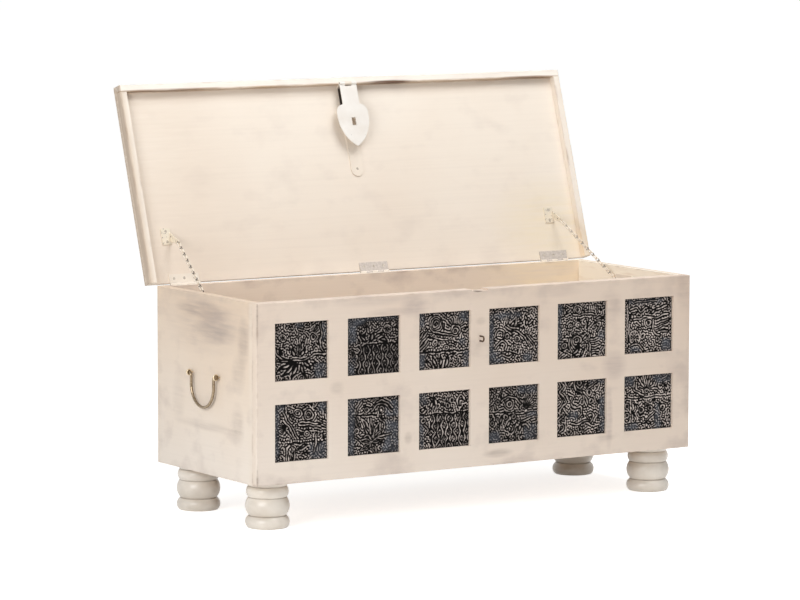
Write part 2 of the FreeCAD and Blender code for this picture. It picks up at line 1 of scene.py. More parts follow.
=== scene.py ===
# %% [markdown]
# # A whitewashed storage chest with a carved front
# The chest is a long box of mango wood on four turned feet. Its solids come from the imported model, so
# this lesson adds what solids lack: the worn whitewash, the carved blocks, the metal and paint, and the
# studio. Every solid that already has the right shape stays and only gets a finish. The twelve carved
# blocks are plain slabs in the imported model, so here they are replaced by real relief.

import math

import bpy
import numpy as np
from mathutils import Matrix, Vector


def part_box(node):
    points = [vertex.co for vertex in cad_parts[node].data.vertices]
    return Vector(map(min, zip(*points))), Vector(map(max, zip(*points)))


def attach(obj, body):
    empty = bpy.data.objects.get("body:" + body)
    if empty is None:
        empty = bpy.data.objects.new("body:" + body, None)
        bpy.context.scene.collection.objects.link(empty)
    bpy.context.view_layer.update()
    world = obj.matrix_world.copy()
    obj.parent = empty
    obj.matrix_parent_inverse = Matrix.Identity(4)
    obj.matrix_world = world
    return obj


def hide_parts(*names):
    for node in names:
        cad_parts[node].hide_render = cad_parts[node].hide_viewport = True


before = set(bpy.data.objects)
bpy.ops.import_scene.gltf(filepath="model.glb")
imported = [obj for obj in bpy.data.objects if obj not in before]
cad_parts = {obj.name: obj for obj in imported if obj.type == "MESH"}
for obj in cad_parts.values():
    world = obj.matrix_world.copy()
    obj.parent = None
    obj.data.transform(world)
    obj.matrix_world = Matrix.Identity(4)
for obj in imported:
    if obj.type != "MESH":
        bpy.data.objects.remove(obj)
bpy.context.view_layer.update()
MM = 0.001
print("solids loaded:", len(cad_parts))

# %% [markdown]
# ## Two helpers
# Colours are written as the sRGB hex values that a picture shows, and Blender shades in linear light, so
# one function turns the first into the second. Another adds a shader node with its settings and its
# links. Most of what follows is a row of calls to it, which reads like the node editor from left to
# right.

# %% Colour and node helpers
def paint(hex_code, alpha=1.0):
    """An sRGB hex value as the linear colour that Blender's sockets take."""
    parts = [int(hex_code[i:i + 2], 16) / 255 for i in (1, 3, 5)]
    linear = [c / 12.92 if c <= 0.04045 else ((c + 0.055) / 1.055) ** 2.4 for c in parts]
    return (*linear, alpha)


def add(tree, kind, inputs=None, **settings):
    """One shader node. Inputs are values for its sockets, or the outputs that feed them."""
    made = tree.nodes.new("ShaderNode" + kind)
    for key, value in settings.items():
        setattr(made, key, value)
    for socket, value in (inputs or {}).items():
        if isinstance(value, bpy.types.NodeSocket):
            tree.links.new(value, made.inputs[socket])
        else:
            made.inputs[socket].default_value = value
    return made


def material(name):
    """A new material with only its output node. Returns the material, its tree and the surface socket."""
    made = bpy.data.materials.new(name)
    made.use_nodes = True
    made.node_tree.nodes.clear()
    output = made.node_tree.nodes.new("ShaderNodeOutputMaterial")
    return made, made.node_tree, output.inputs["Surface"]


def dress(node, finish):
    """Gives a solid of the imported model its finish."""
    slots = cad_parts[node].data.materials
    slots.clear()
    slots.append(finish)


print("cream paint in linear light:", [round(c, 3) for c in paint("#eadfd0")])

# %% [markdown]
# ## Camera
# The photograph was taken from the chest's left front with a long lens, which keeps its edges nearly
# parallel. The place and lens below come from fitting the chest's corners and the grid of blocks. A
# camera looks along its own -Z, so its three axes are built from the line of sight and stacked into one
# matrix.

# %% Camera
CAMERA_AT = Vector((-4.9104, -7.6425, 1.4098))
LOOK_AT = Vector((-0.0663, -0.0650, 0.4216))
LENS_MM = 196.64
ROLL_DEG = 0.115

backward = (CAMERA_AT - LOOK_AT).normalized()
rightward = Vector((0, 0, 1)).cross(backward).normalized()
upward = backward.cross(rightward)
camera = bpy.data.objects.new("camera", bpy.data.cameras.new("camera"))
camera.data.lens = LENS_MM
camera.data.sensor_width = 36.0
camera.data.clip_end = 100.0
turn = Matrix((rightward, upward, backward)).transposed().to_4x4()
camera.matrix_world = Matrix.Translation(CAMERA_AT) @ turn @ Matrix.Rotation(math.radians(ROLL_DEG), 4, "Z")
bpy.context.scene.collection.objects.link(camera)
bpy.context.scene.camera = camera
print("camera", round((CAMERA_AT - LOOK_AT).length, 2), "m away")

# %% [markdown]
# ## Floor, background and light
# The picture has a plain white ground. The floor glows a little for the camera alone, so that it reads as
# white, while the rest of its tone comes from the lamps and keeps the chest's soft shadow. A softbox
# above and to the right makes the shadows under the lid's rim and the hasp, and another on the left
# lights the end wall. The world fills in from all round, and shows white to the camera and in polished
# metal.

# %% Floor
FLOOR_REACH = 60.0
FLOOR_GLOW = 0.73
FLOOR_PALE = "#f4f3f1"


def seen_directly(tree):
    """1 for the rays that show a surface itself: straight to the camera, in a mirror or through glass."""
    rays = add(tree, "LightPath")
    seen = rays.outputs["Is Camera Ray"]
    for ray in ("Is Glossy Ray", "Is Transmission Ray"):
        seen = add(tree, "Math", {0: seen, 1: rays.outputs[ray]}, operation="MAXIMUM").outputs[0]
    return seen


floor_mesh = bpy.data.meshes.new("floor")
corners = [(x * FLOOR_REACH, y * FLOOR_REACH, 0) for x, y in ((-1, -1), (1, -1), (1, 1), (-1, 1))]
floor_mesh.from_pydata(corners, [], [(0, 1, 2, 3)])
floor = bpy.data.objects.new("floor", floor_mesh)
bpy.context.scene.collection.objects.link(floor)
floor_paper, tree, surface = material("white_studio_paper")
share = add(tree, "Math", {0: seen_directly(tree), 1: FLOOR_GLOW}, operation="MULTIPLY")
matt = add(tree, "BsdfDiffuse", {"Color": paint(FLOOR_PALE)})
glow = add(tree, "Emission", {"Strength": share.outputs[0]})
both = add(tree, "AddShader", {0: matt.outputs[0], 1: glow.outputs[0]})
tree.links.new(both.outputs[0], surface)
floor_mesh.materials.append(floor_paper)
print("floor", 2 * FLOOR_REACH, "m across")

# %% Lamps and world
WORLD_LIGHT = 0.31
LAMPS = {
    "softbox_above": {"watts": 51.5, "side": 1.5, "at": Vector((0.5, -0.9, 3.0))},
    "softbox_left": {"watts": 51.0, "side": 1.6, "at": Vector((-3.0, -1.5, 1.3))},
}
for name, softbox in LAMPS.items():
    lamp = bpy.data.objects.new(name, bpy.data.lights.new(name, "AREA"))
    lamp.data.energy = softbox["watts"]
    lamp.data.size = softbox["side"]
    lamp.location = softbox["at"]
    lamp.rotation_euler = (softbox["at"] - LOOK_AT).to_track_quat("Z", "Y").to_euler()
    bpy.context.scene.collection.objects.link(lamp)

world = bpy.data.worlds.new("white_studio")
bpy.context.scene.world = world
world.use_nodes = True
tree = world.node_tree
tree.nodes.clear()
level = add(tree, "MapRange", {"Value": seen_directly(tree), "To Min": WORLD_LIGHT, "To Max": 1.0})
sky = add(tree, "Background", {"Color": (1, 1, 1, 1), "Strength": level.outputs[0]})
add(tree, "OutputWorld", {"Surface": sky.outputs[0]})
bpy.context.scene.view_settings.view_transform = "Standard"
print("lamps:", *LAMPS)

# %% [markdown]
# ## Whitewashed mango wood
# The boards are mango wood under a thin cream whitewash that was rubbed back by hand. To the eye that
# gives a matt cream with a hint of grain along each board, soft lilac-grey smudges where the wash is
# thin, scuffed brown arrises, and a hair line where a board ends. An image could hold all that, but it
# would stretch, and noise that is scaled from real millimetres stays the same size on every board. Each
# finish also fades between a lighter and a darker tone across its boards: that fade is painted light and
# shade, and the two tones hold the boards' own colour too. The distance to the edges is worked out from
# the box of the boards that share a finish, so the wear follows them. The lid's boards stand open at an
# angle, so theirs is worked out with the lid turned down flat.

# %% Marks and edges of a board
MARKS_MM = {"fibre": (260, 5), "brush": (80, 8), "smear": (70, 48), "cloud": (330, 330), "scuff": (38, 38)}
CLOUD_SHARE = 0.15


def noise_marks(tree, flat, grain):
    """The noises of the whitewash, each with its own size along the grain and across it."""
    marks = {}
    for mark, (long, wide) in MARKS_MM.items():
        scale = [1 / (wide * MM)] * 3
        scale[grain] = 1 / (long * MM)
        along = add(tree, "Mapping", {"Vector": flat, "Scale": scale})
        noise = add(tree, "TexNoise", {"Vector": along.outputs[0], "Scale": 1.0, "Detail": 4.0})
        marks[mark] = noise.outputs[0]
    return marks


def edge_distance(tree, flat, low, high):
    """How far a point of a box's face is from the face's nearest edge.

    That is the middle one of its distances to the three pairs of faces: on a face the least is 0."""
    depth = add(tree, "VectorMath", {0: flat, 1: (low + high) / 2}, operation="SUBTRACT")
    depth = add(tree, "VectorMath", {0: depth.outputs[0]}, operation="ABSOLUTE")
    depth = add(tree, "VectorMath", {0: (high - low) / 2, 1: depth.outputs[0]}, operation="SUBTRACT")
    to = add(tree, "SeparateXYZ", {0: depth.outputs[0]})
    less = add(tree, "Math", {0: to.outputs[0], 1: to.outputs[1]}, operation="MINIMUM")
    more = add(tree, "Math", {0: to.outputs[0], 1: to.outputs[1]}, operation="MAXIMUM")
    more = add(tree, "Math", {0: more.outputs[0], 1: to.outputs[2]}, operation="MINIMUM")
    return add(tree, "Math", {0: less.outputs[0], 1: more.outputs[0]}, operation="MAXIMUM").outputs[0]


def two_tones(tree, flat, low, high, light_fade, tones, cloud):
    """A colour between two tones, by its place along the box's axes, their weights and soft clouds.
    The axis weights paint light and shade.
    """
    share = add(tree, "VectorMath", {0: flat, 1: low}, operation="SUBTRACT")
    share = add(tree, "VectorMath", {0: share.outputs[0], 1: high - low}, operation="DIVIDE")
    share = add(tree, "VectorMath", {0: share.outputs[0], 1: light_fade}, operation="DOT_PRODUCT")
    start = -sum(min(weight, 0.0) for weight in light_fade)
    drift = add(tree, "MapRange", {"Value": cloud, "From Min": 0.35, "From Max": 0.65,
                                   "To Min": start - CLOUD_SHARE, "To Max": start + CLOUD_SHARE})
    tone = add(tree, "Math", {0: share.outputs["Value"], 1: drift.outputs[0]}, operation="ADD",
               use_clamp=True)
    first, second = tones
    mixed = add(tree, "Mix", {0: tone.outputs[0], 6: paint(first), 7: paint(second)}, data_type="RGBA")
    return mixed.outputs[2]


print("marks along and across the grain, mm:", MARKS_MM)

# %% Whitewashed wood
ARRIS_REACH = 5 * MM
GRIME_REACH = 22 * MM
JOINT_HALF = 0.8 * MM
GRAIN_DEPTH = 0.4 * MM
THIN_WASH, SCUFFED, JOINT_DIRT = "#b2a19a", "#a08670", "#6f5c4c"


def whitewash(name, nodes, grain, light_fade, tones, smudge, wear, turn=0.0, spots=()):
    """Whitewash for boards whose grain runs along one axis (0, 1 or 2), once they are turned about X.

    Smudge and wear say how strongly the wash is thinned in patches and scuffed at the edges. The light
    fade weights the box's axes to paint light and shade between the two tones. A spot is a soft mark of
    its own, such as a smudge, painted shade or painted light: its place as shares of the boards' box, its
    half sizes in millimetres, its strength and its colour."""
    made, tree, surface = material(name)
    turned = Matrix.Rotation(turn, 3, "X")
    points = [turned @ v.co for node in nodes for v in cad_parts[node].data.vertices]
    low = Vector([min(p[i] for p in points) for i in range(3)])
    high = Vector([max(p[i] for p in points) for i in range(3)])
    place = add(tree, "TexCoord").outputs["Object"]
    flat = add(tree, "Mapping", {"Vector": place, "Rotation": (turn, 0, 0)}).outputs[0]
    marks = noise_marks(tree, flat, grain)
    edge = edge_distance(tree, flat, low, high)
    colour = two_tones(tree, flat, low, high, light_fade, tones, marks["cloud"])

    stroke = add(tree, "MapRange", {"Value": marks["brush"], "From Min": 0.30, "From Max": 0.70,
                                    "To Min": 0.35})
    grime = add(tree, "MapRange", {"Value": edge, "From Max": GRIME_REACH, "To Min": 0.12, "To Max": 0.0})
    smear = add(tree, "Math", {0: marks["smear"], 1: grime.outputs[0]}, operation="ADD")
    smear = add(tree, "MapRange", {"Value": smear.outputs[0], "From Min": 0.54, "From Max": 0.78,
                                   "To Max": smudge})
    thin = add(tree, "MapRange", {"Value": stroke.outputs[0], "To Min": 0.6, "To Max": 1.0})
    thin = add(tree, "Math", {0: smear.outputs[0], 1: thin.outputs[0]}, operation="MULTIPLY")
    streak = add(tree, "MapRange", {"Value": marks["fibre"], "From Min": 0.45, "From Max": 0.75,
                                    "To Max": 0.05})
    thin = add(tree, "Math", {0: thin.outputs[0], 1: streak.outputs[0]}, operation="ADD")
    layers = [(thin, THIN_WASH)]
    for share, half, strength, tint in spots:
        grow = Vector([1 / (h * MM) for h in half])
        centre = Vector([a + k * (b - a) for a, b, k in zip(low, high, share)])
        ball = add(tree, "Mapping", {"Vector": flat, "Scale": grow, "Location": -centre * grow})
        ball = add(tree, "TexGradient", {"Vector": ball.outputs[0]}, gradient_type="SPHERICAL")
        soft = add(tree, "MapRange", {"Value": ball.outputs["Fac"], "From Max": 0.6, "To Max": strength})
        soft = add(tree, "Math", {0: soft.outputs[0], 1: stroke.outputs[0]}, operation="MULTIPLY")
        layers.append((soft, tint))

    near = add(tree, "MapRange", {"Value": edge, "From Max": ARRIS_REACH, "To Min": 1.0, "To Max": 0.0})
    rub = add(tree, "MapRange", {"Value": marks["scuff"], "From Min": 0.52, "From Max": 0.72,
                                 "To Max": wear})
    rub = add(tree, "Math", {0: near.outputs[0], 1: rub.outputs[0]}, operation="MULTIPLY")
    line = add(tree, "MapRange", {"Value": edge, "From Max": JOINT_HALF, "To Min": 0.035, "To Max": 0.0})
    layers += [(rub, SCUFFED), (line, JOINT_DIRT)]
    for cover, tint in layers:
        mixed = add(tree, "Mix", {0: cover.outputs[0], 6: colour, 7: paint(tint)}, data_type="RGBA")
        colour = mixed.outputs[2]

    rough = add(tree, "MapRange", {"Value": marks["scuff"], "To Min": 0.48, "To Max": 0.74})
    bump = add(tree, "Bump", {"Height": marks["fibre"], "Strength": 0.04, "Distance": GRAIN_DEPTH})
    wood = add(tree, "BsdfPrincipled", {"Base Color": colour, "Roughness": rough.outputs[0],
                                        "Normal": bump.outputs[0], "IOR": 1.5})
    tree.links.new(wood.outputs[0], surface)
    for node in nodes:
        dress(node, made)


print("scuffs reach", round(ARRIS_REACH / MM), "mm from an edge")

# %% [markdown]
# The end wall on the left is the most rubbed board of all: dark brush marks near its top, upright smears
# beside the front corner and a long mark below the handle. The frame of the front was washed after it was
# glued up, so its rails, stiles and uprights share one finish and no joint shows. It has smudges round
# the blocks, painted shade in the notch of its top edge and a dark line down its left corner. Each mark
# is a soft ball of colour at its own place, broken up by the same brush noise as the rest. Inside, the
# right end and the back's right corner are painted with warm light, and the bottom board, which is out
# of sight, was planed and left bare.

# %% Dress the box
# Half sizes of a spot in millimetres: past a board's ends, within one face of it, or through the front.
ENDLESS = 9000
BEHIND_FACE = 14
THROUGH_FRONT = 40
CORNER_LINE = "#7d6b5e"
LILAC_SMUDGE = "#8d7b7c"
left_marks = [
    ((0, 0.50, 0.91), (BEHIND_FACE, 120, 24), 0.62, "#95827a"),
    ((0, 0.38, 0.81), (BEHIND_FACE, 100, 30), 0.60, "#978983"),
    ((0, 0.46, 0.86), (BEHIND_FACE, 200, 85), 0.36, "#a89a95"),
    ((0, 0.09, 0.77), (BEHIND_FACE, 26, 60), 0.48, "#9b8b83"),
    ((0, 0.14, 0.59), (BEHIND_FACE, 32, 46), 0.36, "#a3938a"),
    ((0, 0.15, 0.31), (BEHIND_FACE, 30, 52), 0.34, "#a8978b"),
    ((0, 0.46, 0.27), (BEHIND_FACE, 150, 12), 0.34, "#a8978b"),
    ((0, 0.77, 0.40), (BEHIND_FACE, 30, 60), 0.22, "#a39388"),
    ((0, 0, 0.5), (BEHIND_FACE, 16, ENDLESS), 0.7, "#ecdfd0"),
]
front_marks = [
    ((0.351, 0, 0.930), (40, THROUGH_FRONT, 28), 0.38, LILAC_SMUDGE),
    ((0.300, 0, 0.905), (70, THROUGH_FRONT, 10), 0.34, "#93817e"),
    ((0.258, 0, 0.980), (120, THROUGH_FRONT, 16), 0.26, "#a39390"),
    ((0.817, 0, 0.510), (36, THROUGH_FRONT, 36), 0.36, LILAC_SMUDGE),
    ((0.806, 0, 0.200), (11, THROUGH_FRONT, 70), 0.34, LILAC_SMUDGE),
    ((0.543, 0, 0.065), (42, THROUGH_FRONT, 11), 0.42, "#85766c"),
    ((0.336, 0, 0.196), (12, THROUGH_FRONT, 16), 0.36, "#8d7b6c"),
    ((0.176, 0, 0.507), (20, THROUGH_FRONT, 16), 0.26, "#97887f"),
    ((0.985, 0, 0.930), (22, THROUGH_FRONT, 60), 0.26, "#96827a"),
    ((0.808, 0, 0.870), (34, THROUGH_FRONT, 34), 0.24, "#98857e"),
    ((0.680, 0, 0.955), (70, THROUGH_FRONT, 14), 0.22, "#a39390"),
    ((0.796, 0, 0.096), (30, THROUGH_FRONT, 11), 0.30, "#97887f"),
    ((0.502, 0, 0.820), (16, THROUGH_FRONT, 10), 0.26, "#8d7b6c"),
    # Painted shade in the notch of the top edge.
    ((0.495, 0, 0.992), (15, THROUGH_FRONT, 4), 1.00, "#4f3f32"),
    ((0, 1, 0.5), (3, 17, ENDLESS), 0.45, "#d9c7b3"),
    ((0.001, 0, 0.96), (2.6, 3, 90), 0.55, CORNER_LINE),
    ((0.001, 0, 0.02), (2.6, 3, 40), 0.60, CORNER_LINE),
    ((0.001, 0, 0.5), (2.2, 3, ENDLESS), 0.08, CORNER_LINE),
]
# Painted warm light on the back's inner right corner and on the right end's inner face.
painted_corner_light = [((0.97, 0, 0.95), (260, BEHIND_FACE, 150), 0.8, "#fdeacb")]
painted_inner_light = [((0, 0.7, 1), (BEHIND_FACE, 900, 900), 1.6, "#fff7e8")]
# Each pair of tones runs from lighter to darker. The fades paint light and shade: the front is darker to
# the right and towards the top, and the end walls, the back and the lining are darker towards the top.
LIGHT_FADE_UP, FLAT = (0, 0, 1), (0, 0, 0)
FRONT_LIGHT_FADE = (0.27, 0, 0.70)
INSIDE = ("#f6ebdd", "#ecdccb")
SIDE = ("#efe4d8", "#e3ceb7")
FRONT = ("#f1e4d7", "#e5d0bd")
PLANED = ("#d6bda4", "#c7aa8f")
lining = "front_lining_board"
front_frame = [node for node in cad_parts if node.startswith("front_") and node != lining]
whitewash("whitewashed_mango_left_end", ["left_side_wall"], 1, LIGHT_FADE_UP, SIDE, 0.35, 0.2, spots=left_marks)
whitewash("whitewashed_mango_right_end", ["right_side_wall"], 1, LIGHT_FADE_UP, SIDE, 0.30, 0.4, spots=painted_inner_light)
whitewash("whitewashed_mango_back", ["back_wall"], 0, LIGHT_FADE_UP, INSIDE, 0.50, 0.4, spots=painted_corner_light)
whitewash("whitewashed_mango_front", front_frame, 0, FRONT_LIGHT_FADE, FRONT, 0.40, 0.5, spots=front_marks)
whitewash("planed_mango_lining", [lining], 0, LIGHT_FADE_UP, INSIDE, 0.45, 0.3)
whitewash("planed_mango_bottom", ["bottom_board"], 0, FLAT, PLANED, 0.40, 0.2)
print("boards in the front's frame:", len(front_frame))

# %% [markdown]
# The lid's inner face is seen at full light, so its smudges are faint. Its front rim is bruised brown
# where the hasp strikes it and near its ends. Painted shade darkens the lid's left edges and left part,
# the rim's inner face, and a band of the panel under the rim, where the rim casts its shadow. Towards the
# right end of the hinges, painted warm light yellows the panel and the right rim.

# %% Dress the lid
LID_OPEN = math.radians(108.0)
BRUISE = "#6b4a33"
# Painted shade along the left edge of each board of the lid.
painted_left_shade = ((0, 0.5, 0.5), (4, ENDLESS, ENDLESS), 1.2, "#bdab99")
rim_marks = [
    painted_left_shade,
    # Painted shade on the rim's inner face; the three marks after it are bruises.
    ((0.5, 1, 0.6), (4000, 4, 26), 1.0, "#b69a7c"),
    ((0.595, 1, 0.1), (80, 6, 16), 1.3, "#5a3d2a"),
    ((0.92, 1, 0.2), (90, 5, 14), 1.0, BRUISE),
    ((0.10, 1, 0.2), (150, 5, 12), 0.9, BRUISE),
]
lid_marks = [
    painted_left_shade,
    # Painted warm light near the right end of the hinges, painted shade on the panel's left part, and the
    # rim's painted shadow in a band under it.
    ((0.93, 0.82, 0), (170, 120, 10), 0.45, "#efdfba"),
    ((0.05, 0.5, 0), (230, 330, 10), 0.5, "#e3d4c3"),
    ((0.5, 0.037, 0), (ENDLESS, 30, 10), 0.22, "#bb9f84"),
]
# Painted warm light near the hinge end of the right rim's inner face.
painted_right_light = [((0, 0.97, 0), (60, 90, 60), 0.6, "#eccfa2")]
# The lid is painted darker to the left and towards the hinges, and the left rim darker on its outer face:
# painted shade.
LID_LIGHT_FADE, LIGHT_FADE_INWARD = (-0.34, 0.34, 0), (1, 0, 0)
LID = ("#f3e9dc", "#e6d5c3")
RIM = ("#f8f0e5", "#f1e6d8")
LEFT_RIM = ("#dac9b5", "#f6ecdf")
whitewash("whitewashed_mango_lid_panel", ["lid_panel"], 0, LID_LIGHT_FADE, LID, 0.16, 0.2, LID_OPEN, lid_marks)
whitewash("whitewashed_mango_lid_front", ["lid_front_rim"], 0, FLAT, RIM, 0.16, 0.4, LID_OPEN, rim_marks)
whitewash("whitewashed_mango_lid_left", ["lid_left_rim"], 1, LIGHT_FADE_INWARD, LEFT_RIM, 0.2, 0.4, LID_OPEN,
          [painted_left_shade])
whitewash("whitewashed_mango_lid_right", ["lid_right_rim"], 1, FLAT, LID, 0.16, 0.4, LID_OPEN, painted_right_light)
print("board finishes:", len([m for m in bpy.data.materials if "mango" in m.name]))

# %% [markdown]
# ## Painted feet
# The feet are turned on a lathe and painted a shade greyer than the box, with a satin sheen that a brush
# coat keeps. A dark ring is drawn at the height of each of its three grooves.

# %% Satin paint on the feet
GROOVES_MM = (25.0, 62.0, 84.5)
GROOVE_HALF = 1.6 * MM
FOOT_CLOUD = 40 * MM

feet_paint, tree, surface = material("satin_brushed_paint_feet")
place = add(tree, "TexCoord")
high_up = add(tree, "SeparateXYZ", {0: place.outputs["Object"]})
cloud = add(tree, "TexNoise", {"Vector": place.outputs["Object"], "Scale": 1 / FOOT_CLOUD, "Detail": 4.0})
body = add(tree, "MapRange", {"Value": cloud.outputs[0], "From Min": 0.35, "From Max": 0.70})
colour = add(tree, "Mix", {0: body.outputs[0], 6: paint("#ebe3d8"), 7: paint("#dbd1c4")}, data_type="RGBA")
for groove in GROOVES_MM:
    away = add(tree, "Math", {0: high_up.outputs[2], 1: groove * MM}, operation="SUBTRACT")
    away = add(tree, "Math", {0: away.outputs[0]}, operation="ABSOLUTE")
    groove_ring = add(tree, "MapRange", {"Value": away.outputs[0], "From Max": GROOVE_HALF,
                                  "To Min": 0.6, "To Max": 0.0})
    colour = add(tree, "Mix", {0: groove_ring.outputs[0], 6: colour.outputs[2], 7: paint("#7b6a5a")},
                 data_type="RGBA")
rough = add(tree, "MapRange", {"Value": cloud.outputs[0], "To Min": 0.24, "To Max": 0.44})
satin = add(tree, "BsdfPrincipled", {"Base Color": colour.outputs[2], "Roughness": rough.outputs[0],
                                     "IOR": 1.5, "Coat Weight": 0.25, "Coat Roughness": 0.2})
tree.links.new(satin.outputs[0], surface)
for foot in ("foot_front_left", "foot_front_right", "foot_back_left", "foot_back_right"):
    dress(foot, feet_paint)
print("feet painted")

# %% [markdown]
# ## Iron, zinc, steel and brass
# The hasp, its strap, the chains and most of the fittings were painted over with the chest, so their iron
# shows only where it is chipped, most of all on the lid's brackets. The chains have dark dots at every
# second link. The strap lies in shade behind the hasp, and there it gets a patch of painted shade in the
# colour of bare iron. Two lid leaves kept their dull zinc. The handle is a bright drawn rod in brassy
# eyes, and the staple is brown oiled iron. A painted piece is a dielectric with chips of bare iron, and a
# bare metal is fully metallic, with its tone broken by fine noise so that it isn't mirror smooth.

# %% Painted iron
CHIP = 5 * MM
CHIP_FROM, CHIP_FULL = 0.72, 0.80
HAZE_SHARE = 0.12
PAINT_DEPTH = 0.3 * MM
LINK_DOT_STEP = 20.6 * MM
LINK_DOT_HALF = 3.2 * MM
HAZE, BARE_IRON_AND_SHADE = "#d6cabb", "#332a24"


def link_dots(tree, place, chain, rub):
    """Dark dots along a chain at even steps, by one share at its top and another below."""
    points = np.array([v.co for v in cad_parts[chain].data.vertices])
    middle = points.mean(axis=0)
    axis = np.linalg.svd(points - middle, full_matrices=False)[2][0]
    downward = -axis * np.sign(axis[2])
    half = np.abs((points - middle) @ downward).max()
    along = add(tree, "VectorMath", {0: place, 1: middle}, operation="SUBTRACT")
    along = add(tree, "VectorMath", {0: along.outputs[0], 1: downward}, operation="DOT_PRODUCT")
    along = along.outputs["Value"]
    at_top, from_middle = rub
    share = add(tree, "MapRange", {"Value": along, "From Min": -half, "From Max": 0.0,
                                   "To Min": at_top, "To Max": from_middle})
    step = add(tree, "Math", {0: along, 1: LINK_DOT_STEP / 2}, operation="PINGPONG")
    rubbed = add(tree, "MapRange", {"Value": step.outputs[0], "From Min": LINK_DOT_HALF / 2,
                                    "From Max": LINK_DOT_HALF, "To Min": 1.0, "To Max": 0.0})
    return add(tree, "Math", {0: rubbed.outputs[0], 1: share.outputs[0]}, operation="MULTIPLY").outputs[0]


def painted_iron(name, coat, chip_share, chain=None, rub=(1.0, 1.0), shade_at=None, shade_reach=0.0):
    """Brush paint over iron: chipped in places, dark at a chain's even steps, and painted shade round one
    point.
    """
    made, tree, surface = material(name)
    place = add(tree, "TexCoord").outputs["Object"]
    flecks = add(tree, "TexNoise", {"Vector": place, "Scale": 1 / CHIP, "Detail": 5.0}).outputs[0]
    haze = add(tree, "TexNoise", {"Vector": place, "Scale": HAZE_SHARE / CHIP, "Detail": 3.0}).outputs[0]
    tint = add(tree, "MapRange", {"Value": haze, "From Min": 0.35, "From Max": 0.7, "To Max": 0.35})
    colour = add(tree, "Mix", {0: tint.outputs[0], 6: paint(coat), 7: paint(HAZE)}, data_type="RGBA")
    bare = add(tree, "MapRange", {"Value": flecks, "From Min": CHIP_FROM - chip_share,
                                  "From Max": CHIP_FULL - chip_share}).outputs[0]
    if chain:
        rubbed = link_dots(tree, place, chain, rub)
        bare = add(tree, "Math", {0: bare, 1: rubbed}, operation="MAXIMUM").outputs[0]
    # Painted shade: the dark iron colour round one point stands for the shadow there.
    if shade_at:
        away = add(tree, "VectorMath", {0: place, 1: shade_at}, operation="DISTANCE").outputs["Value"]
        in_shade = add(tree, "MapRange", {"Value": away, "From Min": 0.8 * shade_reach, "From Max": shade_reach,
                                        "To Min": 1.0, "To Max": 0.0})
        bare = add(tree, "Math", {0: bare, 1: in_shade.outputs[0]}, operation="MAXIMUM").outputs[0]
    # The dark iron colour covers the chips, the chain's dots and the painted shade.
    colour = add(tree, "Mix", {0: bare, 6: colour.outputs[2], 7: paint(BARE_IRON_AND_SHADE)}, data_type="RGBA")
    rough = add(tree, "MapRange", {"Value": flecks, "To Min": 0.30, "To Max": 0.55})
    bump = add(tree, "Bump", {"Height": flecks, "Strength": 0.08, "Distance": PAINT_DEPTH})
    painted = add(tree, "BsdfPrincipled", {"Base Color": colour.outputs[2], "Roughness": rough.outputs[0],
                                           "Normal": bump.outputs[0], "IOR": 1.5})
    tree.links.new(painted.outputs[0], surface)
    return made


# The strap lies in shade behind the hasp, so painted shade is put on it there.
STRAP_SHADE_DOWN, STRAP_SHADE_REACH = 42 * MM, 34 * MM
strap_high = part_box("hasp_strap")[1]
up_the_lid = Vector((0, -math.cos(LID_OPEN), math.sin(LID_OPEN)))
strap_shade_spot = Vector((0, strap_high.y, strap_high.z)) - STRAP_SHADE_DOWN * up_the_lid
white_iron = painted_iron("white_painted_hasp_iron", "#f2eee8", 0.0)
strap_iron = painted_iron("cream_painted_strap_iron", "#f0e4d5", 0.02, shade_at=strap_shade_spot,
                          shade_reach=STRAP_SHADE_REACH)
cream_iron = painted_iron("cream_painted_iron", "#efe4d6", 0.03)
chipped_iron = painted_iron("chipped_cream_painted_iron", "#eadfcb", 0.12)
# The place of the strap's patch of painted shade.
print("bare patch of the strap at", [round(part / MM) for part in strap_shade_spot], "mm")

# %% Bare metals
TARNISH = 4 * MM


def bare_metal(name, bright, dull, smooth, coarse):
    """Bare metal between two tones, with a roughness that varies between two values."""
    made, tree, surface = material(name)
    place = add(tree, "TexCoord").outputs["Object"]
    spots = add(tree, "TexNoise", {"Vector": place, "Scale": 1 / TARNISH, "Detail": 4.0}).outputs[0]
    mottle = add(tree, "MapRange", {"Value": spots, "From Min": 0.35, "From Max": 0.65})
    colour = add(tree, "Mix", {0: mottle.outputs[0], 6: paint(bright), 7: paint(dull)}, data_type="RGBA")
    rough = add(tree, "MapRange", {"Value": spots, "To Min": smooth, "To Max": coarse})
    metal = add(tree, "BsdfPrincipled", {"Base Color": colour.outputs[2], "Metallic": 1.0,
                                         "Roughness": rough.outputs[0]})
    tree.links.new(metal.outputs[0], surface)
    return made


zinc = bare_metal("dull_zinc_plated_steel", "#cac1b9", "#bbb2aa", 0.50, 0.70)
bright_rod = bare_metal("bright_drawn_steel", "#9a8973", "#7b6c58", 0.16, 0.28)
brass_wire = bare_metal("dull_brass_wire", "#e6d8bf", "#cfbb99", 0.35, 0.55)
oiled_iron = bare_metal("brown_oiled_iron", "#6f5c4c", "#3b2f27", 0.40, 0.65)
screw_steel = bare_metal("dull_screw_steel", "#d0c7ba", "#a89e92", 0.45, 0.65)
print("bare metals:", zinc.name, bright_rod.name, brass_wire.name, oiled_iron.name, screw_steel.name)

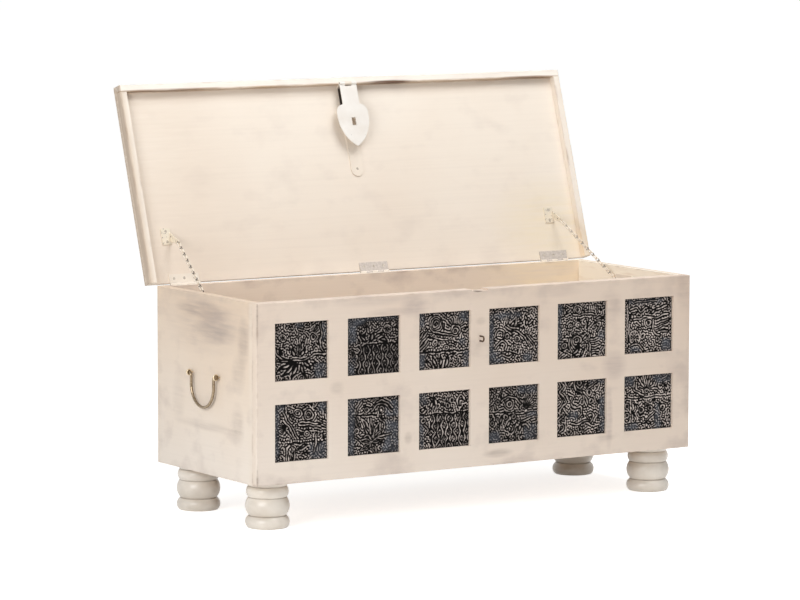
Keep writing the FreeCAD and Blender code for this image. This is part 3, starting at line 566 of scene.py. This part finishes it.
# %% Dress the fittings
finishes = {
    white_iron: ["hasp_leaf"],
    strap_iron: ["hasp_strap"],
    chipped_iron: ["chain_left_lid_bracket", "chain_right_lid_bracket"],
    cream_iron: ["chain_left_wall_bracket", "chain_right_wall_bracket", "hinge_left_lid_leaf",
                 "hinge_left_box_leaf", "hinge_middle_box_leaf", "hinge_right_box_leaf"],
    zinc: ["hinge_middle_lid_leaf", "hinge_right_lid_leaf", "hinge_pins"],
    bright_rod: ["handle_left_bail", "handle_right_bail"],
    brass_wire: ["handle_left_eyes", "handle_right_eyes"],
    oiled_iron: ["lock_staple"],
    screw_steel: ["box_screws", "lid_screws", "foot_studs", "hasp_pin"],
}
# The share of each chain's dark dots at its top and from its middle down.
for chain, rub in (("chain_left", (0.9, 1.0)), ("chain_right", (0.2, 0.7))):
    finishes[painted_iron("cream_painted_" + chain, "#efe4d4", 0.04, chain, rub)] = [chain]
for finish, nodes in finishes.items():
    for node in nodes:
        dress(node, finish)
print("metal pieces dressed:", sum(len(nodes) for nodes in finishes.values()))

# %% [markdown]
# ## Carved blocks
# The blocks are cut from old wooden printing blocks: dense raised lines in scrolls, leaves, rosettes,
# stripes and wavy lattices, often with a seam where two offcuts meet. A bump map would look flat from the
# side, so each block is a real height field. Every motif is a wave that is 1 on a raised line and -1 in a
# groove, drawn in millimetres from the block's top left corner. Where no motif is set, lines grow by
# themselves: noise is passed again and again through a filter that keeps only the pitch of the carving,
# which fills the ground with curling lines that follow the motifs' edges.

# %% A grid of millimetres over one block
block_low, block_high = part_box("carved_block_upper_1")
BLOCK_W = (block_high.x - block_low.x) / MM
BLOCK_H = (block_high.z - block_low.z) / MM
CELL_MM = 0.75

across, down = round(BLOCK_W / CELL_MM) + 1, round(BLOCK_H / CELL_MM) + 1
GRID_U, GRID_V = np.meshgrid(np.linspace(0, BLOCK_W, across), np.linspace(0, BLOCK_H, down))
FREQ = np.hypot(np.fft.fftfreq(across, CELL_MM)[None, :], np.fft.fftfreq(down, CELL_MM)[:, None])


def filtered(field, keep):
    """A field with each of its frequencies kept by the given share."""
    return np.fft.ifft2(np.fft.fft2(field) * keep).real


def soft_noise(draw, size_mm):
    """Smooth noise with patches of about the given size, spread about zero by one."""
    noise = filtered(draw.normal(0, 1, GRID_U.shape), np.exp(-0.5 * (FREQ * size_mm) ** 2))
    return noise / noise.std()


print("one block:", across, "by", down, "points")

# %% [markdown]
# Each motif below takes the grid's two coordinates and its own measures, and returns its wave with the
# mask of where it holds. Angles turn anticlockwise from the right, as on paper.

# %% Places and distances
def box(u0, v0, u1, v1):
    """The corners of an upright rectangle."""
    return [(u0, v0), (u1, v0), (u1, v1), (u0, v1)]


def inside(u, v, corners):
    """Which points lie inside an outline: a level line from them crosses it an odd number of times."""
    hit = np.zeros(u.shape, bool)
    for (u0, v0), (u1, v1) in zip(corners, corners[1:] + corners[:1]):
        if v0 != v1:
            hit ^= ((v0 > v) != (v1 > v)) & (u < (u1 - u0) * (v - v0) / (v1 - v0) + u0)
    return hit


FAR_MM = 1e3


def distance(u, v, path):
    """How far each point is from a row of straight runs."""
    near = np.full(u.shape, FAR_MM)
    for (u0, v0), (u1, v1) in zip(path, path[1:]):
        du, dv = u1 - u0, v1 - v0
        t = np.clip(((u - u0) * du + (v - v0) * dv) / (du * du + dv * dv), 0, 1)
        near = np.minimum(near, np.hypot(u - u0 - t * du, v - v0 - t * dv))
    return near


def smooth_path(path, steps=8):
    """A curve through all the points, as a row of short straight runs."""
    points = np.array(path, float)
    points = np.vstack([2 * points[0] - points[1], points, 2 * points[-1] - points[-2]])
    curve = []
    for a, b, c, d in zip(points, points[1:], points[2:], points[3:]):
        for t in np.linspace(0, 1, steps, endpoint=False):
            bend = (2 * a - 5 * b + 4 * c - d) * t ** 2 + (3 * b - a - 3 * c + d) * t ** 3
            curve.append(tuple(0.5 * (2 * b + (c - a) * t + bend)))
    return curve + [tuple(points[-2])]


def row_of(u0, v0, u1, v1, count):
    """Evenly spaced places on a straight line."""
    return [(u0 + (u1 - u0) * k / (count - 1), v0 + (v1 - v0) * k / (count - 1)) for k in range(count)]


print("corners of a square:", box(0, 0, 1, 1))

# %% Lines, rings and stripes
LINE_PITCH = 5.3
STEM_REACH = 0.7
RIM_BAND, RIM_SHIFT, RIM_EDGE = 2.6, 1.0, 1.6
BOW_LENGTH = 14


def wave(distance_mm, pitch):
    """1 on a raised line and -1 in the groove beside it."""
    return np.cos(2 * np.pi * distance_mm / pitch)


def stem(u, v, path, pitch=LINE_PITCH):
    """One raised line along a curve, with a groove on each side."""
    d = distance(u, v, smooth_path(path))
    return wave(d, pitch), d < STEM_REACH * pitch


def rings(u, v, mid_u, mid_v, radius, pitch=4.6):
    """Rings round one point."""
    d = np.hypot(u - mid_u, v - mid_v)
    return wave(d, pitch), d < radius


def rosette(u, v, mid_u, mid_v, radius, petals, hub=4.5):
    """Petals between a hub and a raised rim."""
    d, a = np.hypot(u - mid_u, v - mid_v), np.arctan2(v - mid_v, u - mid_u)
    height = np.where(d < hub, wave(d, hub), np.cos(petals * a))
    height = np.where(d > radius - RIM_BAND, wave(d - radius + RIM_SHIFT, LINE_PITCH), height)
    return height, d < radius + RIM_EDGE


def fan(u, v, mid_u, mid_v, inner, outer, start, end, count):
    """Rays between two radii, from one angle to another."""
    d, a = np.hypot(u - mid_u, v - mid_v), np.degrees(np.arctan2(mid_v - v, u - mid_u))
    turned, span = (a - start) % 360, (end - start) % 360
    return np.cos(2 * np.pi * count * turned / span), (d > inner) & (d < outer) & (turned < span)


def stripes(u, v, corners, degrees, pitch=LINE_PITCH, bow=0.0):
    """Parallel lines inside an outline, straight or with a wavy bow."""
    c, s = math.cos(math.radians(degrees)), math.sin(math.radians(degrees))
    bent = u * s + v * c + bow * np.sin((u * c - v * s) / BOW_LENGTH)
    return wave(bent, pitch), inside(u, v, corners)


print("pitch of the carved lines:", LINE_PITCH, "mm")

# %% Lattices, dots, leaves and seams
OGEE_SWING, OGEE_HALF = 0.12, 1.0
DIAMOND_SQUASH, DIAMOND_HEIGHT = 1.35, 0.9
DIAMOND_OUTER, DIAMOND_INNER, DIAMOND_CORE = 6.6, 4.0, 1.7
DOT_HEIGHT, DOT_GROOVE = 1.3, 1.3
LEAF_POINT, LEAF_EDGE, LEAF_LINE = 0.8, 1.4, 0.6
NARROW_LEAF = 8.5
SEAM_LEVEL = -1.4


def ogee(u, v, corners, start_u, start_v, wide, tall):
    """Wavy uprights that swell and close in turn, with a small diamond in each swelling."""
    height = np.full(u.shape, -1.0)
    swing = OGEE_SWING * wide * np.sin(2 * np.pi * (v - start_v) / tall)
    for n in range(-1, int(2 * BLOCK_W / wide) + 2):
        middle = start_u + n * wide / 2 + swing * (1 if n % 2 else -1)
        height = np.where(np.abs(u - middle) < OGEE_HALF, 1.0, height)
    for share in (0.25, 0.75):
        du = np.abs((u - start_u) / wide % 1 - share) * wide
        dv = np.abs((v - start_v) / tall % 1 - share) * tall
        diamond = DIAMOND_SQUASH * du + dv
        outline = (diamond < DIAMOND_OUTER) & (diamond > DIAMOND_INNER)
        height = np.where(outline | (diamond < DIAMOND_CORE), DIAMOND_HEIGHT, height)
    return height, inside(u, v, corners)


def dots(u, v, places, radius=1.7):
    """Raised dots, each in a groove of its own."""
    d = np.full(u.shape, FAR_MM)
    for dot_u, dot_v in places:
        d = np.minimum(d, np.hypot(u - dot_u, v - dot_v))
    return np.where(d < radius, DOT_HEIGHT, -1.0), d < radius + DOT_GROOVE


def leaf(u, v, root_u, root_v, length, width, degrees):
    """A pointed leaf: one raised blade if it is narrow, or lines that follow its rim."""
    c, s = math.cos(math.radians(degrees)), -math.sin(math.radians(degrees))
    x, y = (u - root_u) * c + (v - root_v) * s, (v - root_v) * c - (u - root_u) * s
    rim = np.abs(y) - width / 2 * np.sin(np.pi * np.clip(x / length, 0, 1) ** LEAF_POINT)
    on_leaf = (x > 0) & (x < length) & (rim < LEAF_EDGE)
    if width < NARROW_LEAF:
        return wave(rim + width / 2, width), on_leaf
    return wave(rim + LEAF_LINE, width / 2 - LEAF_LINE), on_leaf


def seam(u, v, path, wide=2.4):
    """A groove where two offcuts meet."""
    return np.full(u.shape, SEAM_LEVEL), distance(u, v, path) < wide / 2


def worn(u, v, corners):
    """A patch where the carving was worn down or never cut."""
    return np.zeros(u.shape), inside(u, v, corners)


print("leaves under", NARROW_LEAF, "mm wide have one blade")

# %% [markdown]
# The twelve designs follow the blocks in the photograph from left to right, first the upper row and then
# the lower one. They are read in order, and a later motif cuts into an earlier one.

# %% Designs of the upper row
designs = {}
designs["upper_1"] = [
    (worn, box(52, 0, 68, 11)), (worn, box(112, 6, 126, 40)), (worn, box(98, 88, 126, 117)),
    (rosette, 22, 30, 8, 6), (rings, 93, 33, 10), (fan, 93, 33, 10, 19, 300, 120, 11),
    (leaf, 58, 70, 34, 9, 88), (leaf, 50, 70, 22, 7, 112), (leaf, 66, 70, 22, 7, 66),
    (stem, [(60, 78), (30, 76), (10, 66), (4, 52)]), (stem, [(44, 76), (70, 78), (96, 66), (122, 68)]),
    (stem, [(110, 6), (113, 26), (108, 44), (116, 62)]),
    (leaf, 54, 82, 46, 8, 218), (leaf, 46, 82, 40, 7, 200), (leaf, 58, 84, 38, 8, 240),
    (leaf, 40, 78, 32, 6, 180),
    (leaf, 70, 80, 24, 8, 320), (leaf, 64, 84, 30, 8, 290), (leaf, 84, 78, 20, 6, 340),
    (dots, [(84, 81), (21, 16), (20, 9)], 2.4),
]
designs["upper_2"] = [
    (worn, box(-1, -1, 44, 15)), (worn, box(-1, -1, 24, 50)), (worn, box(44, -1, 126, 7)),
    (worn, box(-1, 84, 22, 117)),
    (dots, row_of(52, 10, 112, 10, 9), 1.3), (dots, row_of(30, 18, 44, 12, 3), 1.3),
    (rosette, 98, 27, 9, 7), (leaf, 38, 52, 24, 7, 70), (leaf, 48, 52, 26, 8, 130),
    (leaf, 56, 50, 24, 8, 60),
    (leaf, 66, 42, 22, 7, 20), (leaf, 80, 46, 20, 7, 340), (fan, 50, 22, 3, 9, 20, 160, 4),
    (ogee, box(26, 58, 126, 117), 22, 60, 21.5, 28.0), (seam, [(48, 56), (126, 56)], 3.0),
    (leaf, 14, 84, 20, 9, 80), (dots, [(14, 88), (10, 92), (18, 92)]),
]
designs["upper_3"] = [
    (worn, box(-1, -1, 16, 30)), (worn, box(102, -1, 126, 22)), (worn, box(-1, 84, 16, 117)),
    (worn, box(100, 58, 115, 70)), (worn, box(112, 84, 126, 117)),
    (rings, 44, 25, 19, 5.0), (rings, 92, 40, 14, 5.0), (fan, 92, 40, 14, 26, 20, 150, 10),
    (stripes, box(-1, 40, 24, 76), 48, 5.4), (stripes, box(26, 40, 84, 60), -9, 5.6, 2.0),
    (dots, row_of(30, 47, 84, 56, 9), 1.4),
    (rings, 41, 62, 8, 5.0), (rings, 70, 75, 7), (dots, [(70, 75), (41, 62)], 1.6),
    (dots, row_of(28, 77.5, 62, 77.5, 6), 2.0), (dots, row_of(80, 77.5, 116, 77.5, 5), 1.9),
    (seam, [(-1, 81.5), (126, 81.5)], 2.8),
    (leaf, 56, 116, 30, 8, 92), (leaf, 46, 116, 30, 8, 110), (leaf, 66, 116, 30, 8, 74),
    (leaf, 36, 114, 26, 7, 130),
]
designs["upper_4"] = [
    (worn, box(-1, 12, 82, 22)), (worn, box(-1, 12, 15, 117)), (worn, box(-1, 92, 40, 117)),
    (worn, box(86, 98, 110, 117)),
    (leaf, 56, 48, 32, 14, 62), (leaf, 50, 46, 24, 9, 88), (leaf, 64, 48, 26, 9, 36),
    (stem, [(44, 40), (56, 48), (72, 50), (88, 60), (104, 82)]), (stem, [(50, 38), (60, 45), (78, 46)]),
    (stripes, [(92, 56), (112, 62), (116, 84), (104, 80)], -52, 5.0),
    (rings, 50, 60, 8), (rings, 74, 66, 8), (stem, [(18, 60), (26, 46), (40, 50), (36, 64), (26, 62)]),
    (stem, [(20, 84), (34, 70), (48, 76), (44, 88)]),
    (leaf, 96, 42, 16, 7, 80), (leaf, 102, 44, 16, 7, 50), (leaf, 98, 30, 14, 6, 110),
    (seam, [(-1, 91), (46, 91), (70, 96)], 2.2), (dots, [(40, 98), (54, 102), (48, 96), (24, 101)], 2.2),
    (stem, [(28, 100), (38, 97), (52, 104), (62, 98)]),
]
designs["upper_5"] = [
    (worn, box(-1, 24, 12, 96)), (worn, box(-1, -1, 16, 24)), (worn, box(106, 60, 126, 80)),
    (rings, 53, 16, 10), (rings, 36, 48, 7), (rings, 56, 47, 7),
    (dots, [(90, 42), (56, 47), (36, 48), (102, 69)], 2.0),
    (stem, [(44, 26), (58, 28), (76, 24), (96, 30)]), (seam, [(20, 71), (64, 71)], 1.8),
    (stem, [(38, 74), (40, 86), (48, 96), (46, 108)]), (stem, [(32, 76), (34, 92), (40, 102)]),
    (rings, 54, 80, 12, 5.0), (leaf, 46, 112, 30, 8, 60), (leaf, 40, 112, 28, 8, 40),
    (leaf, 60, 116, 26, 6, 58),
    (stripes, [(-1, 90), (24, 117), (-1, 117)], 44, 5.0), (stripes, box(88, 74, 108, 117), 8),
    (stem, [(86, 70), (84, 90), (90, 116)]), (rings, 22, 88, 8),
    (stem, [(104, 10), (106, 30), (112, 50), (104, 62)]),
    (fan, 96, 40, 8, 17, 300, 60, 6),
]
designs["upper_6"] = [
    (worn, box(12, 2, 100, 13)), (worn, box(100, 90, 126, 117)), (worn, box(18, 103, 46, 112)),
    (stem, [(28, 8), (86, 8)], 4.0), (seam, [(13, -1), (13, 117)], 1.8),
    (dots, row_of(6, 8, 6, 110, 13), 1.5),
    (stem, [(18, 24), (34, 20), (44, 30), (60, 22), (80, 28), (110, 20)]),
    (stem, [(18, 44), (44, 44), (60, 40), (84, 44), (114, 38)]),
    (rings, 66, 53, 11, 5.0), (rosette, 30, 82, 14, 10, 6.0), (rings, 50, 80, 6),
    (stem, [(78, 48), (76, 64), (84, 78), (96, 82)]), (stripes, box(84, 46, 116, 76), 6, LINE_PITCH, 1.5),
    (stem, [(18, 100), (34, 96), (44, 100), (54, 110)]), (rings, 88, 90, 9),
    (dots, [(58, 88), (64, 92), (70, 88), (62, 82)], 2.0),
    (leaf, 20, 32, 18, 6, 8), (leaf, 60, 34, 16, 6, 60), (leaf, 72, 36, 18, 6, 40),
]
print("upper designs:", len(designs))

# %% Designs of the lower row
designs["lower_1"] = [
    (worn, box(-1, -1, 12, 117)), (worn, box(84, 84, 126, 117)), (worn, box(-1, -1, 24, 14)),
    (worn, box(106, 2, 126, 20)), (rings, 57, 20, 11), (rings, 82, 26, 15, 5.2),
    (stripes, [(60, 36), (92, 42), (126, 36), (126, 62), (96, 54), (62, 48)], -14, LINE_PITCH, 2.5),
    (stripes, box(56, 46, 112, 60), -10, 5.4, 1.5), (dots, row_of(54, 50, 92, 55, 7), 1.4),
    (stripes, [(21, 16), (32, 20), (62, 78), (44, 78)], -58, 5.0), (fan, 34, 48, 6, 20, 150, 230, 7),
    (rings, 78, 63, 8, 5.0), (dots, [(78, 63)], 1.6),
    (dots, row_of(46, 77, 92, 77, 9)), (dots, [(15, 76), (106, 77), (115, 78)], 2.2),
    (seam, [(34, 81), (126, 81)], 2.0),
    (leaf, 40, 84, 26, 10, 320), (leaf, 60, 92, 20, 8, 20), (stem, [(38, 84), (31, 94), (29, 117)]),
    (leaf, 44, 116, 26, 12, 84), (stem, [(100, 66), (98, 84), (92, 104)]),
]
designs["lower_2"] = [
    (worn, box(-1, -1, 18, 117)), (worn, box(92, 10, 126, 42)), (worn, box(92, 52, 126, 117)),
    (worn, box(84, 100, 110, 117)), (worn, box(-1, -1, 44, 6)),
    (stem, [(24, 34), (28, 22), (38, 9)]),
    (stem, [(40, 24), (52, 20), (60, 24), (82, 8), (96, 14), (112, 24)]),
    (stem, [(60, 30), (82, 15), (110, 32)]),
    (rings, 50, 26, 7), (rings, 84, 27, 8), (dots, [(82, 28), (38, 27), (88, 43), (20, 38)], 2.0),
    (seam, [(14, 36), (72, 37)], 3.4),
    (leaf, 64, 86, 52, 11, 122), (leaf, 62, 86, 46, 10, 96), (leaf, 66, 86, 42, 11, 66),
    (leaf, 68, 86, 34, 10, 40),
    (leaf, 22, 38, 30, 10, 290), (stem, [(78, 46), (92, 58), (86, 76)]), (rings, 24, 67, 7),
    (stem, [(20, 80), (34, 84), (52, 78), (64, 88), (80, 82), (106, 78)]),
    (leaf, 62, 92, 34, 10, 168), (leaf, 60, 96, 30, 9, 205), (leaf, 62, 92, 26, 9, 12),
    (leaf, 62, 98, 22, 9, 300),
]
designs["lower_3"] = [
    (worn, box(-1, -1, 22, 24)), (worn, box(-1, 48, 14, 117)),
    (leaf, 30, 10, 30, 6, 310), (leaf, 38, 10, 34, 6, 300), (leaf, 32, 34, 18, 6, 70),
    (rings, 66, 14, 8), (rings, 74, 30, 7), (rings, 84, 20, 6), (rings, 52, 30, 6),
    (stem, [(98, 30), (96, 18), (106, 12), (116, 22)]), (stem, [(104, 30), (104, 22), (112, 24)]),
    (stem, [(2, 34), (10, 42), (22, 36)]), (rings, 14, 58, 7), (stem, [(16, 68), (26, 78), (18, 90)]),
    (ogee, box(30, 48, 126, 117), 28, 50, 21.5, 28.0), (seam, [(-1, 47), (126, 46)]),
]
designs["lower_4"] = [
    (worn, box(76, 2, 126, 18)), (worn, box(-1, 94, 30, 117)), (worn, box(92, 84, 126, 117)),
    (worn, box(98, 58, 126, 68)),
    (rings, 56, 38, 14, 5.2), (rings, 26, 34, 8), (fan, 86, 54, 10, 34, 10, 78, 9),
    (stem, [(36, 30), (52, 24), (70, 28), (84, 40)]), (seam, [(-1, 55), (60, 55)], 1.8),
    (stem, [(62, 57), (84, 60), (112, 55)]), (dots, [(97, 55), (26, 12), (34, 14)], 2.6),
    (leaf, 30, 80, 22, 6, 70), (rings, 46, 64, 8), (rings, 66, 66, 8), (leaf, 56, 98, 28, 6, 50),
    (leaf, 46, 84, 20, 7, 40),
    (stem, [(84, 78), (98, 74), (116, 68)]), (stem, [(82, 86), (96, 84), (104, 92)]),
    (leaf, 80, 100, 24, 7, 84), (leaf, 66, 104, 22, 6, 60), (leaf, 70, 117, 18, 6, 100),
    (rings, 12, 76, 8), (fan, 34, 22, 2, 12, 60, 120, 3),
]
designs["lower_5"] = [
    (worn, box(112, 40, 126, 117)), (worn, [(34, 66), (56, 66), (58, 80), (44, 84), (32, 78)]),
    (worn, box(88, 2, 126, 10)),
    (stem, [(14, 0), (22, 10), (10, 22), (22, 34), (26, 46), (10, 58), (22, 70), (8, 84), (22, 96),
            (10, 108), (16, 117)]),
    (stem, [(6, 0), (12, 10), (2, 22), (12, 34), (16, 46), (2, 58), (12, 70), (0, 84), (12, 96),
            (2, 108)]),
    (rings, 14, 64, 5), (rings, 14, 88, 5), (rings, 60, 6, 12, 5.0),
    (stem, [(48, 0), (48, 16), (56, 26), (74, 36), (82, 52), (90, 58)]),
    (stem, [(56, 22), (66, 30), (72, 44), (80, 56)]),
    (stem, [(76, 24), (90, 14), (104, 8)]), (rosette, 85, 28, 6, 5, 3.0), (rosette, 90, 45, 6, 5, 3.0),
    (stem, [(34, 26), (44, 34), (40, 48), (50, 58), (64, 56), (66, 70), (58, 80)]), (rings, 66, 48, 6),
    (stem, [(40, 90), (60, 92), (74, 86), (90, 90)]),
    (stem, [(84, 84), (80, 74), (90, 70), (96, 80), (90, 92)]),
    (dots, [(8, 112), (40, 84), (30, 100), (48, 98), (62, 98), (76, 98)], 2.0), (rings, 62, 104, 7),
    (rings, 34, 106, 6),
]
designs["lower_6"] = [
    (worn, box(-1, -1, 30, 22)), (worn, box(74, -1, 126, 18)), (worn, box(84, 84, 98, 117)),
    (worn, box(86, 60, 94, 84)), (worn, box(-1, 102, 40, 117)),
    (fan, 62, 34, 7, 22, 12, 168, 8), (rings, 62, 34, 7),
    (stem, [(32, 14), (30, 28), (40, 38), (54, 44)]),
    (stem, [(38, 16), (36, 28), (46, 36)]), (fan, 62, 34, 23, 30, 40, 140, 9),
    (seam, [(-1, 49), (126, 48)], 1.6), (seam, [(24, 50), (24, 102)], 1.6),
    (seam, [(-1, 101), (60, 101)], 1.6),
    (rings, 50, 76, 8), (rings, 70, 72, 8),
    (stem, [(40, 80), (48, 88), (58, 86), (62, 96), (72, 88), (82, 80)]),
    (dots, [(62, 89), (56, 104), (68, 104), (62, 108)], 2.6), (leaf, 62, 98, 16, 6, 210),
    (leaf, 62, 98, 16, 6, 330), (rings, 104, 72, 8), (rings, 12, 64, 6), (rings, 12, 84, 6),
]
print("designs:", len(designs))

# %% [markdown]
# The finish of a block is a near-black stain, with pale wax rubbed over the raised lines by hand. The
# ground stays dark and warm and the lines turn silvery beige. The worn patches are a mottled slate grey,
# which stands for their worn wood and for a painted sheen, and fades towards the block's edges. Near the
# edges the block darkens, for less wax there and as painted shade of its recess. The height of each
# point, its wear and the wax on it come from the carving itself.

# %% Stained and waxed wood
# Real pores are finer than this grain and wouldn't show.
STAIN_GRAIN = 2.5 * MM
SLATE_PATCH = 14 * MM
STAIN_DEPTH = 0.3 * MM

carved_wood, tree, surface = material("stained_mango_rubbed_with_wax")
place = add(tree, "TexCoord")
grit = add(tree, "TexNoise", {"Vector": place.outputs["Object"], "Scale": 1 / STAIN_GRAIN, "Detail": 4.0})
raised = add(tree, "Attribute", attribute_name="raised")
flat = add(tree, "Attribute", attribute_name="worn")
rubbed = add(tree, "Attribute", attribute_name="rubbed")
wax = add(tree, "Math", {0: raised.outputs["Fac"], 1: rubbed.outputs["Fac"]}, operation="MULTIPLY")
patchy = add(tree, "MapRange", {"Value": grit.outputs[0], "From Min": 0.25, "From Max": 0.75,
                                "To Min": 0.70, "To Max": 1.15})
wax = add(tree, "Math", {0: wax.outputs[0], 1: patchy.outputs[0]}, operation="MULTIPLY", use_clamp=True)
colour = add(tree, "Mix", {0: wax.outputs[0], 6: paint("#080706"), 7: paint("#e0d3cc")}, data_type="RGBA")
# Worn patches: a slate grey for their worn wood and a painted sheen, lighter on raised parts.
slate_and_sheen = add(tree, "Mix", {0: raised.outputs["Fac"], 6: paint("#4a4c52"), 7: paint("#898b91")},
            data_type="RGBA")
smoke = add(tree, "TexNoise", {"Vector": place.outputs["Object"], "Scale": 1 / SLATE_PATCH, "Detail": 2.0})
cover = add(tree, "MapRange", {"Value": smoke.outputs[0], "From Min": 0.38, "From Max": 0.60,
                               "To Min": 0.45, "To Max": 0.95})
cover = add(tree, "Math", {0: flat.outputs["Fac"], 1: cover.outputs[0]}, operation="MULTIPLY")
colour = add(tree, "Mix", {0: cover.outputs[0], 6: colour.outputs[2], 7: slate_and_sheen.outputs[2]},
             data_type="RGBA")
rough = add(tree, "MapRange", {"Value": grit.outputs[0], "To Min": 0.42, "To Max": 0.66})
bump = add(tree, "Bump", {"Height": grit.outputs[0], "Strength": 0.15, "Distance": STAIN_DEPTH})
sheen = add(tree, "MapRange", {"Value": raised.outputs["Fac"], "To Min": 0.05, "To Max": 0.40})
stained = add(tree, "BsdfPrincipled", {"Base Color": colour.outputs[2], "Roughness": rough.outputs[0],
                                       "IOR": 1.5, "Specular IOR Level": sheen.outputs[0],
                                       "Normal": bump.outputs[0]})
tree.links.new(stained.outputs[0], surface)
print("finish of the blocks:", carved_wood.name)

# %% [markdown]
# Carving a block: the grid is first bent a little, so that no ring is quite round, then the motifs are
# set and the ground between them grows its lines. The height field becomes a closed mesh, with the
# highest lines on the slab's front and the grooves cut into it. Three numbers go with each point for the
# finish: how high it is, how worn the patch is, and how strongly the wax was rubbed on there.

# %% The heights of a block
BEND_MM, BEND_SIZE = 0.9, 26.0
FILTER_STEPS, FILTER_WIDTH = 3, 0.46
SHARPEN = 2.2
BREAK_FROM, BREAK_SIZE = 0.8, 9.0
LINE_CUT, LINE_CUT_SPREAD, LINE_SLOPE = 0.23, 0.15, 0.70
THICK_SIZE = 9.0
RUB_MEAN, RUB_SPREAD, RUB_LEAST, RUB_MOST = 0.86, 0.11, 0.25, 1.20
RUB_SIZE = 26.0
EDGE_SHADE, EDGE_SHADE_MM = 0.8, 2.5
KNIFE_MM, WORN_MM = 0.5, 2.6
WORN_CUT = 0.12
KEEP_PITCH = np.exp(-((FREQ * LINE_PITCH - 1) / FILTER_WIDTH) ** 2)
KNIFE_BLUR = np.exp(-0.5 * (2 * np.pi * KNIFE_MM * FREQ) ** 2)
WORN_BLUR = np.exp(-0.5 * (2 * np.pi * WORN_MM * FREQ) ** 2)


def carve(motifs, wax, seed):
    """The heights of one block from 0 to 1, with how worn and how rubbed each point is."""
    draw = np.random.default_rng(seed)
    u, v = (grid + BEND_MM * soft_noise(draw, BEND_SIZE) for grid in (GRID_U, GRID_V))
    target, is_set, flat = np.zeros(u.shape), np.zeros(u.shape, bool), np.zeros(u.shape)
    for motif, *measures in motifs:
        height, mask = motif(u, v, *measures)
        flat[mask] = 1.0 if motif is worn else 0.0
        if motif is not worn:
            target[mask] = height[mask]
            is_set |= mask
    field = np.where(is_set, target, draw.normal(0, 1, u.shape))
    for _ in range(FILTER_STEPS):
        lines = filtered(field, KEEP_PITCH)
        field = np.where(is_set, target, np.tanh(SHARPEN * lines / lines.std()))
    breaks = np.where(is_set, 0.0, np.clip(soft_noise(draw, BREAK_SIZE) - BREAK_FROM, 0, 1))
    flat = np.clip(filtered(flat, WORN_BLUR), 0, 1)
    field = filtered(np.clip(field, -1, DOT_HEIGHT) - breaks - WORN_CUT * flat, KNIFE_BLUR)
    cut = LINE_CUT + LINE_CUT_SPREAD * soft_noise(draw, THICK_SIZE)
    field = np.clip((field - cut) / LINE_SLOPE, 0, 1)
    edge = np.min([GRID_U, BLOCK_W - GRID_U, GRID_V, BLOCK_H - GRID_V], axis=0)
    rubbed = np.clip(wax * (RUB_MEAN + RUB_SPREAD * soft_noise(draw, RUB_SIZE)), RUB_LEAST, RUB_MOST)
    # Less wear and wax near the edges darkens the block there: less wax and painted shade of its recess.
    inner = 1 - EDGE_SHADE * np.exp(-edge / EDGE_SHADE_MM)
    return field * field * (3 - 2 * field), flat * inner, rubbed * inner


print("lines grow in", FILTER_STEPS, "steps")

# %% A slab from the heights
CARVE_DEPTH = 2.6 * MM
WORN_SHALLOW = 0.55


def carved_block(name, node, motifs, wax, seed):
    """A closed slab with the carving on its front, in the place of a plain one."""
    low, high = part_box(node)
    raised, flat, rubbed = carve(motifs, wax, seed)
    x, z = low.x + GRID_U * MM, high.z - GRID_V * MM
    y = low.y + CARVE_DEPTH * (1 - raised) * (1 - WORN_SHALLOW * flat)
    front = np.stack([x, y, z], -1).reshape(-1, 3)
    back = [(low.x, high.y, high.z), (high.x, high.y, high.z),
            (high.x, high.y, low.z), (low.x, high.y, low.z)]
    grid = np.arange(across * down).reshape(down, across)
    quads = np.stack([grid[:-1, :-1], grid[1:, :-1], grid[1:, 1:], grid[:-1, 1:]], -1).reshape(-1, 4)
    top_left, top_right, low_right, low_left = range(across * down, across * down + 4)
    sides = [
        [*grid[0].tolist(), top_right, top_left],
        [*grid[-1, ::-1].tolist(), low_left, low_right],
        [*grid[::-1, 0].tolist(), top_left, low_left],
        [*grid[:, -1].tolist(), low_right, top_right],
        [top_left, top_right, low_right, low_left],
    ]
    mesh = bpy.data.meshes.new(name)
    mesh.from_pydata(front.tolist() + back, [], quads.tolist() + sides)
    mesh.polygons.foreach_set("use_smooth", [True] * len(quads) + [False] * len(sides))
    for key, values in (("raised", raised), ("worn", flat), ("rubbed", rubbed)):
        layer = mesh.attributes.new(key, "FLOAT", "POINT")
        padded = np.append(values.reshape(-1), np.zeros(len(back)))
        layer.data.foreach_set("value", padded.astype(np.float32))
    mesh.materials.append(carved_wood)
    piece = bpy.data.objects.new(name, mesh)
    bpy.context.scene.collection.objects.link(piece)
    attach(piece, "chest")
    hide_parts(node)


print("carving depth:", round(CARVE_DEPTH / MM, 1), "mm")

# %% [markdown]
# The wax was rubbed on more strongly on some blocks than on others, so each design has its own share of
# it. Each block also has its own seed, so that the lines between its motifs never repeat and are the same
# at every run.

# %% Carve the twelve blocks
FIRST_SEED = 11
WAX = (0.82, 0.60, 1.0, 1.15, 1.05, 1.2, 1.0, 0.88, 1.05, 0.78, 1.1, 1.25)
for number, ((name, motifs), wax) in enumerate(zip(designs.items(), WAX)):
    carved_block("carving_" + name, "carved_block_" + name, motifs, wax, FIRST_SEED + number)
print("blocks carved:", len(designs))

# %% End of the scene
print("scene built")
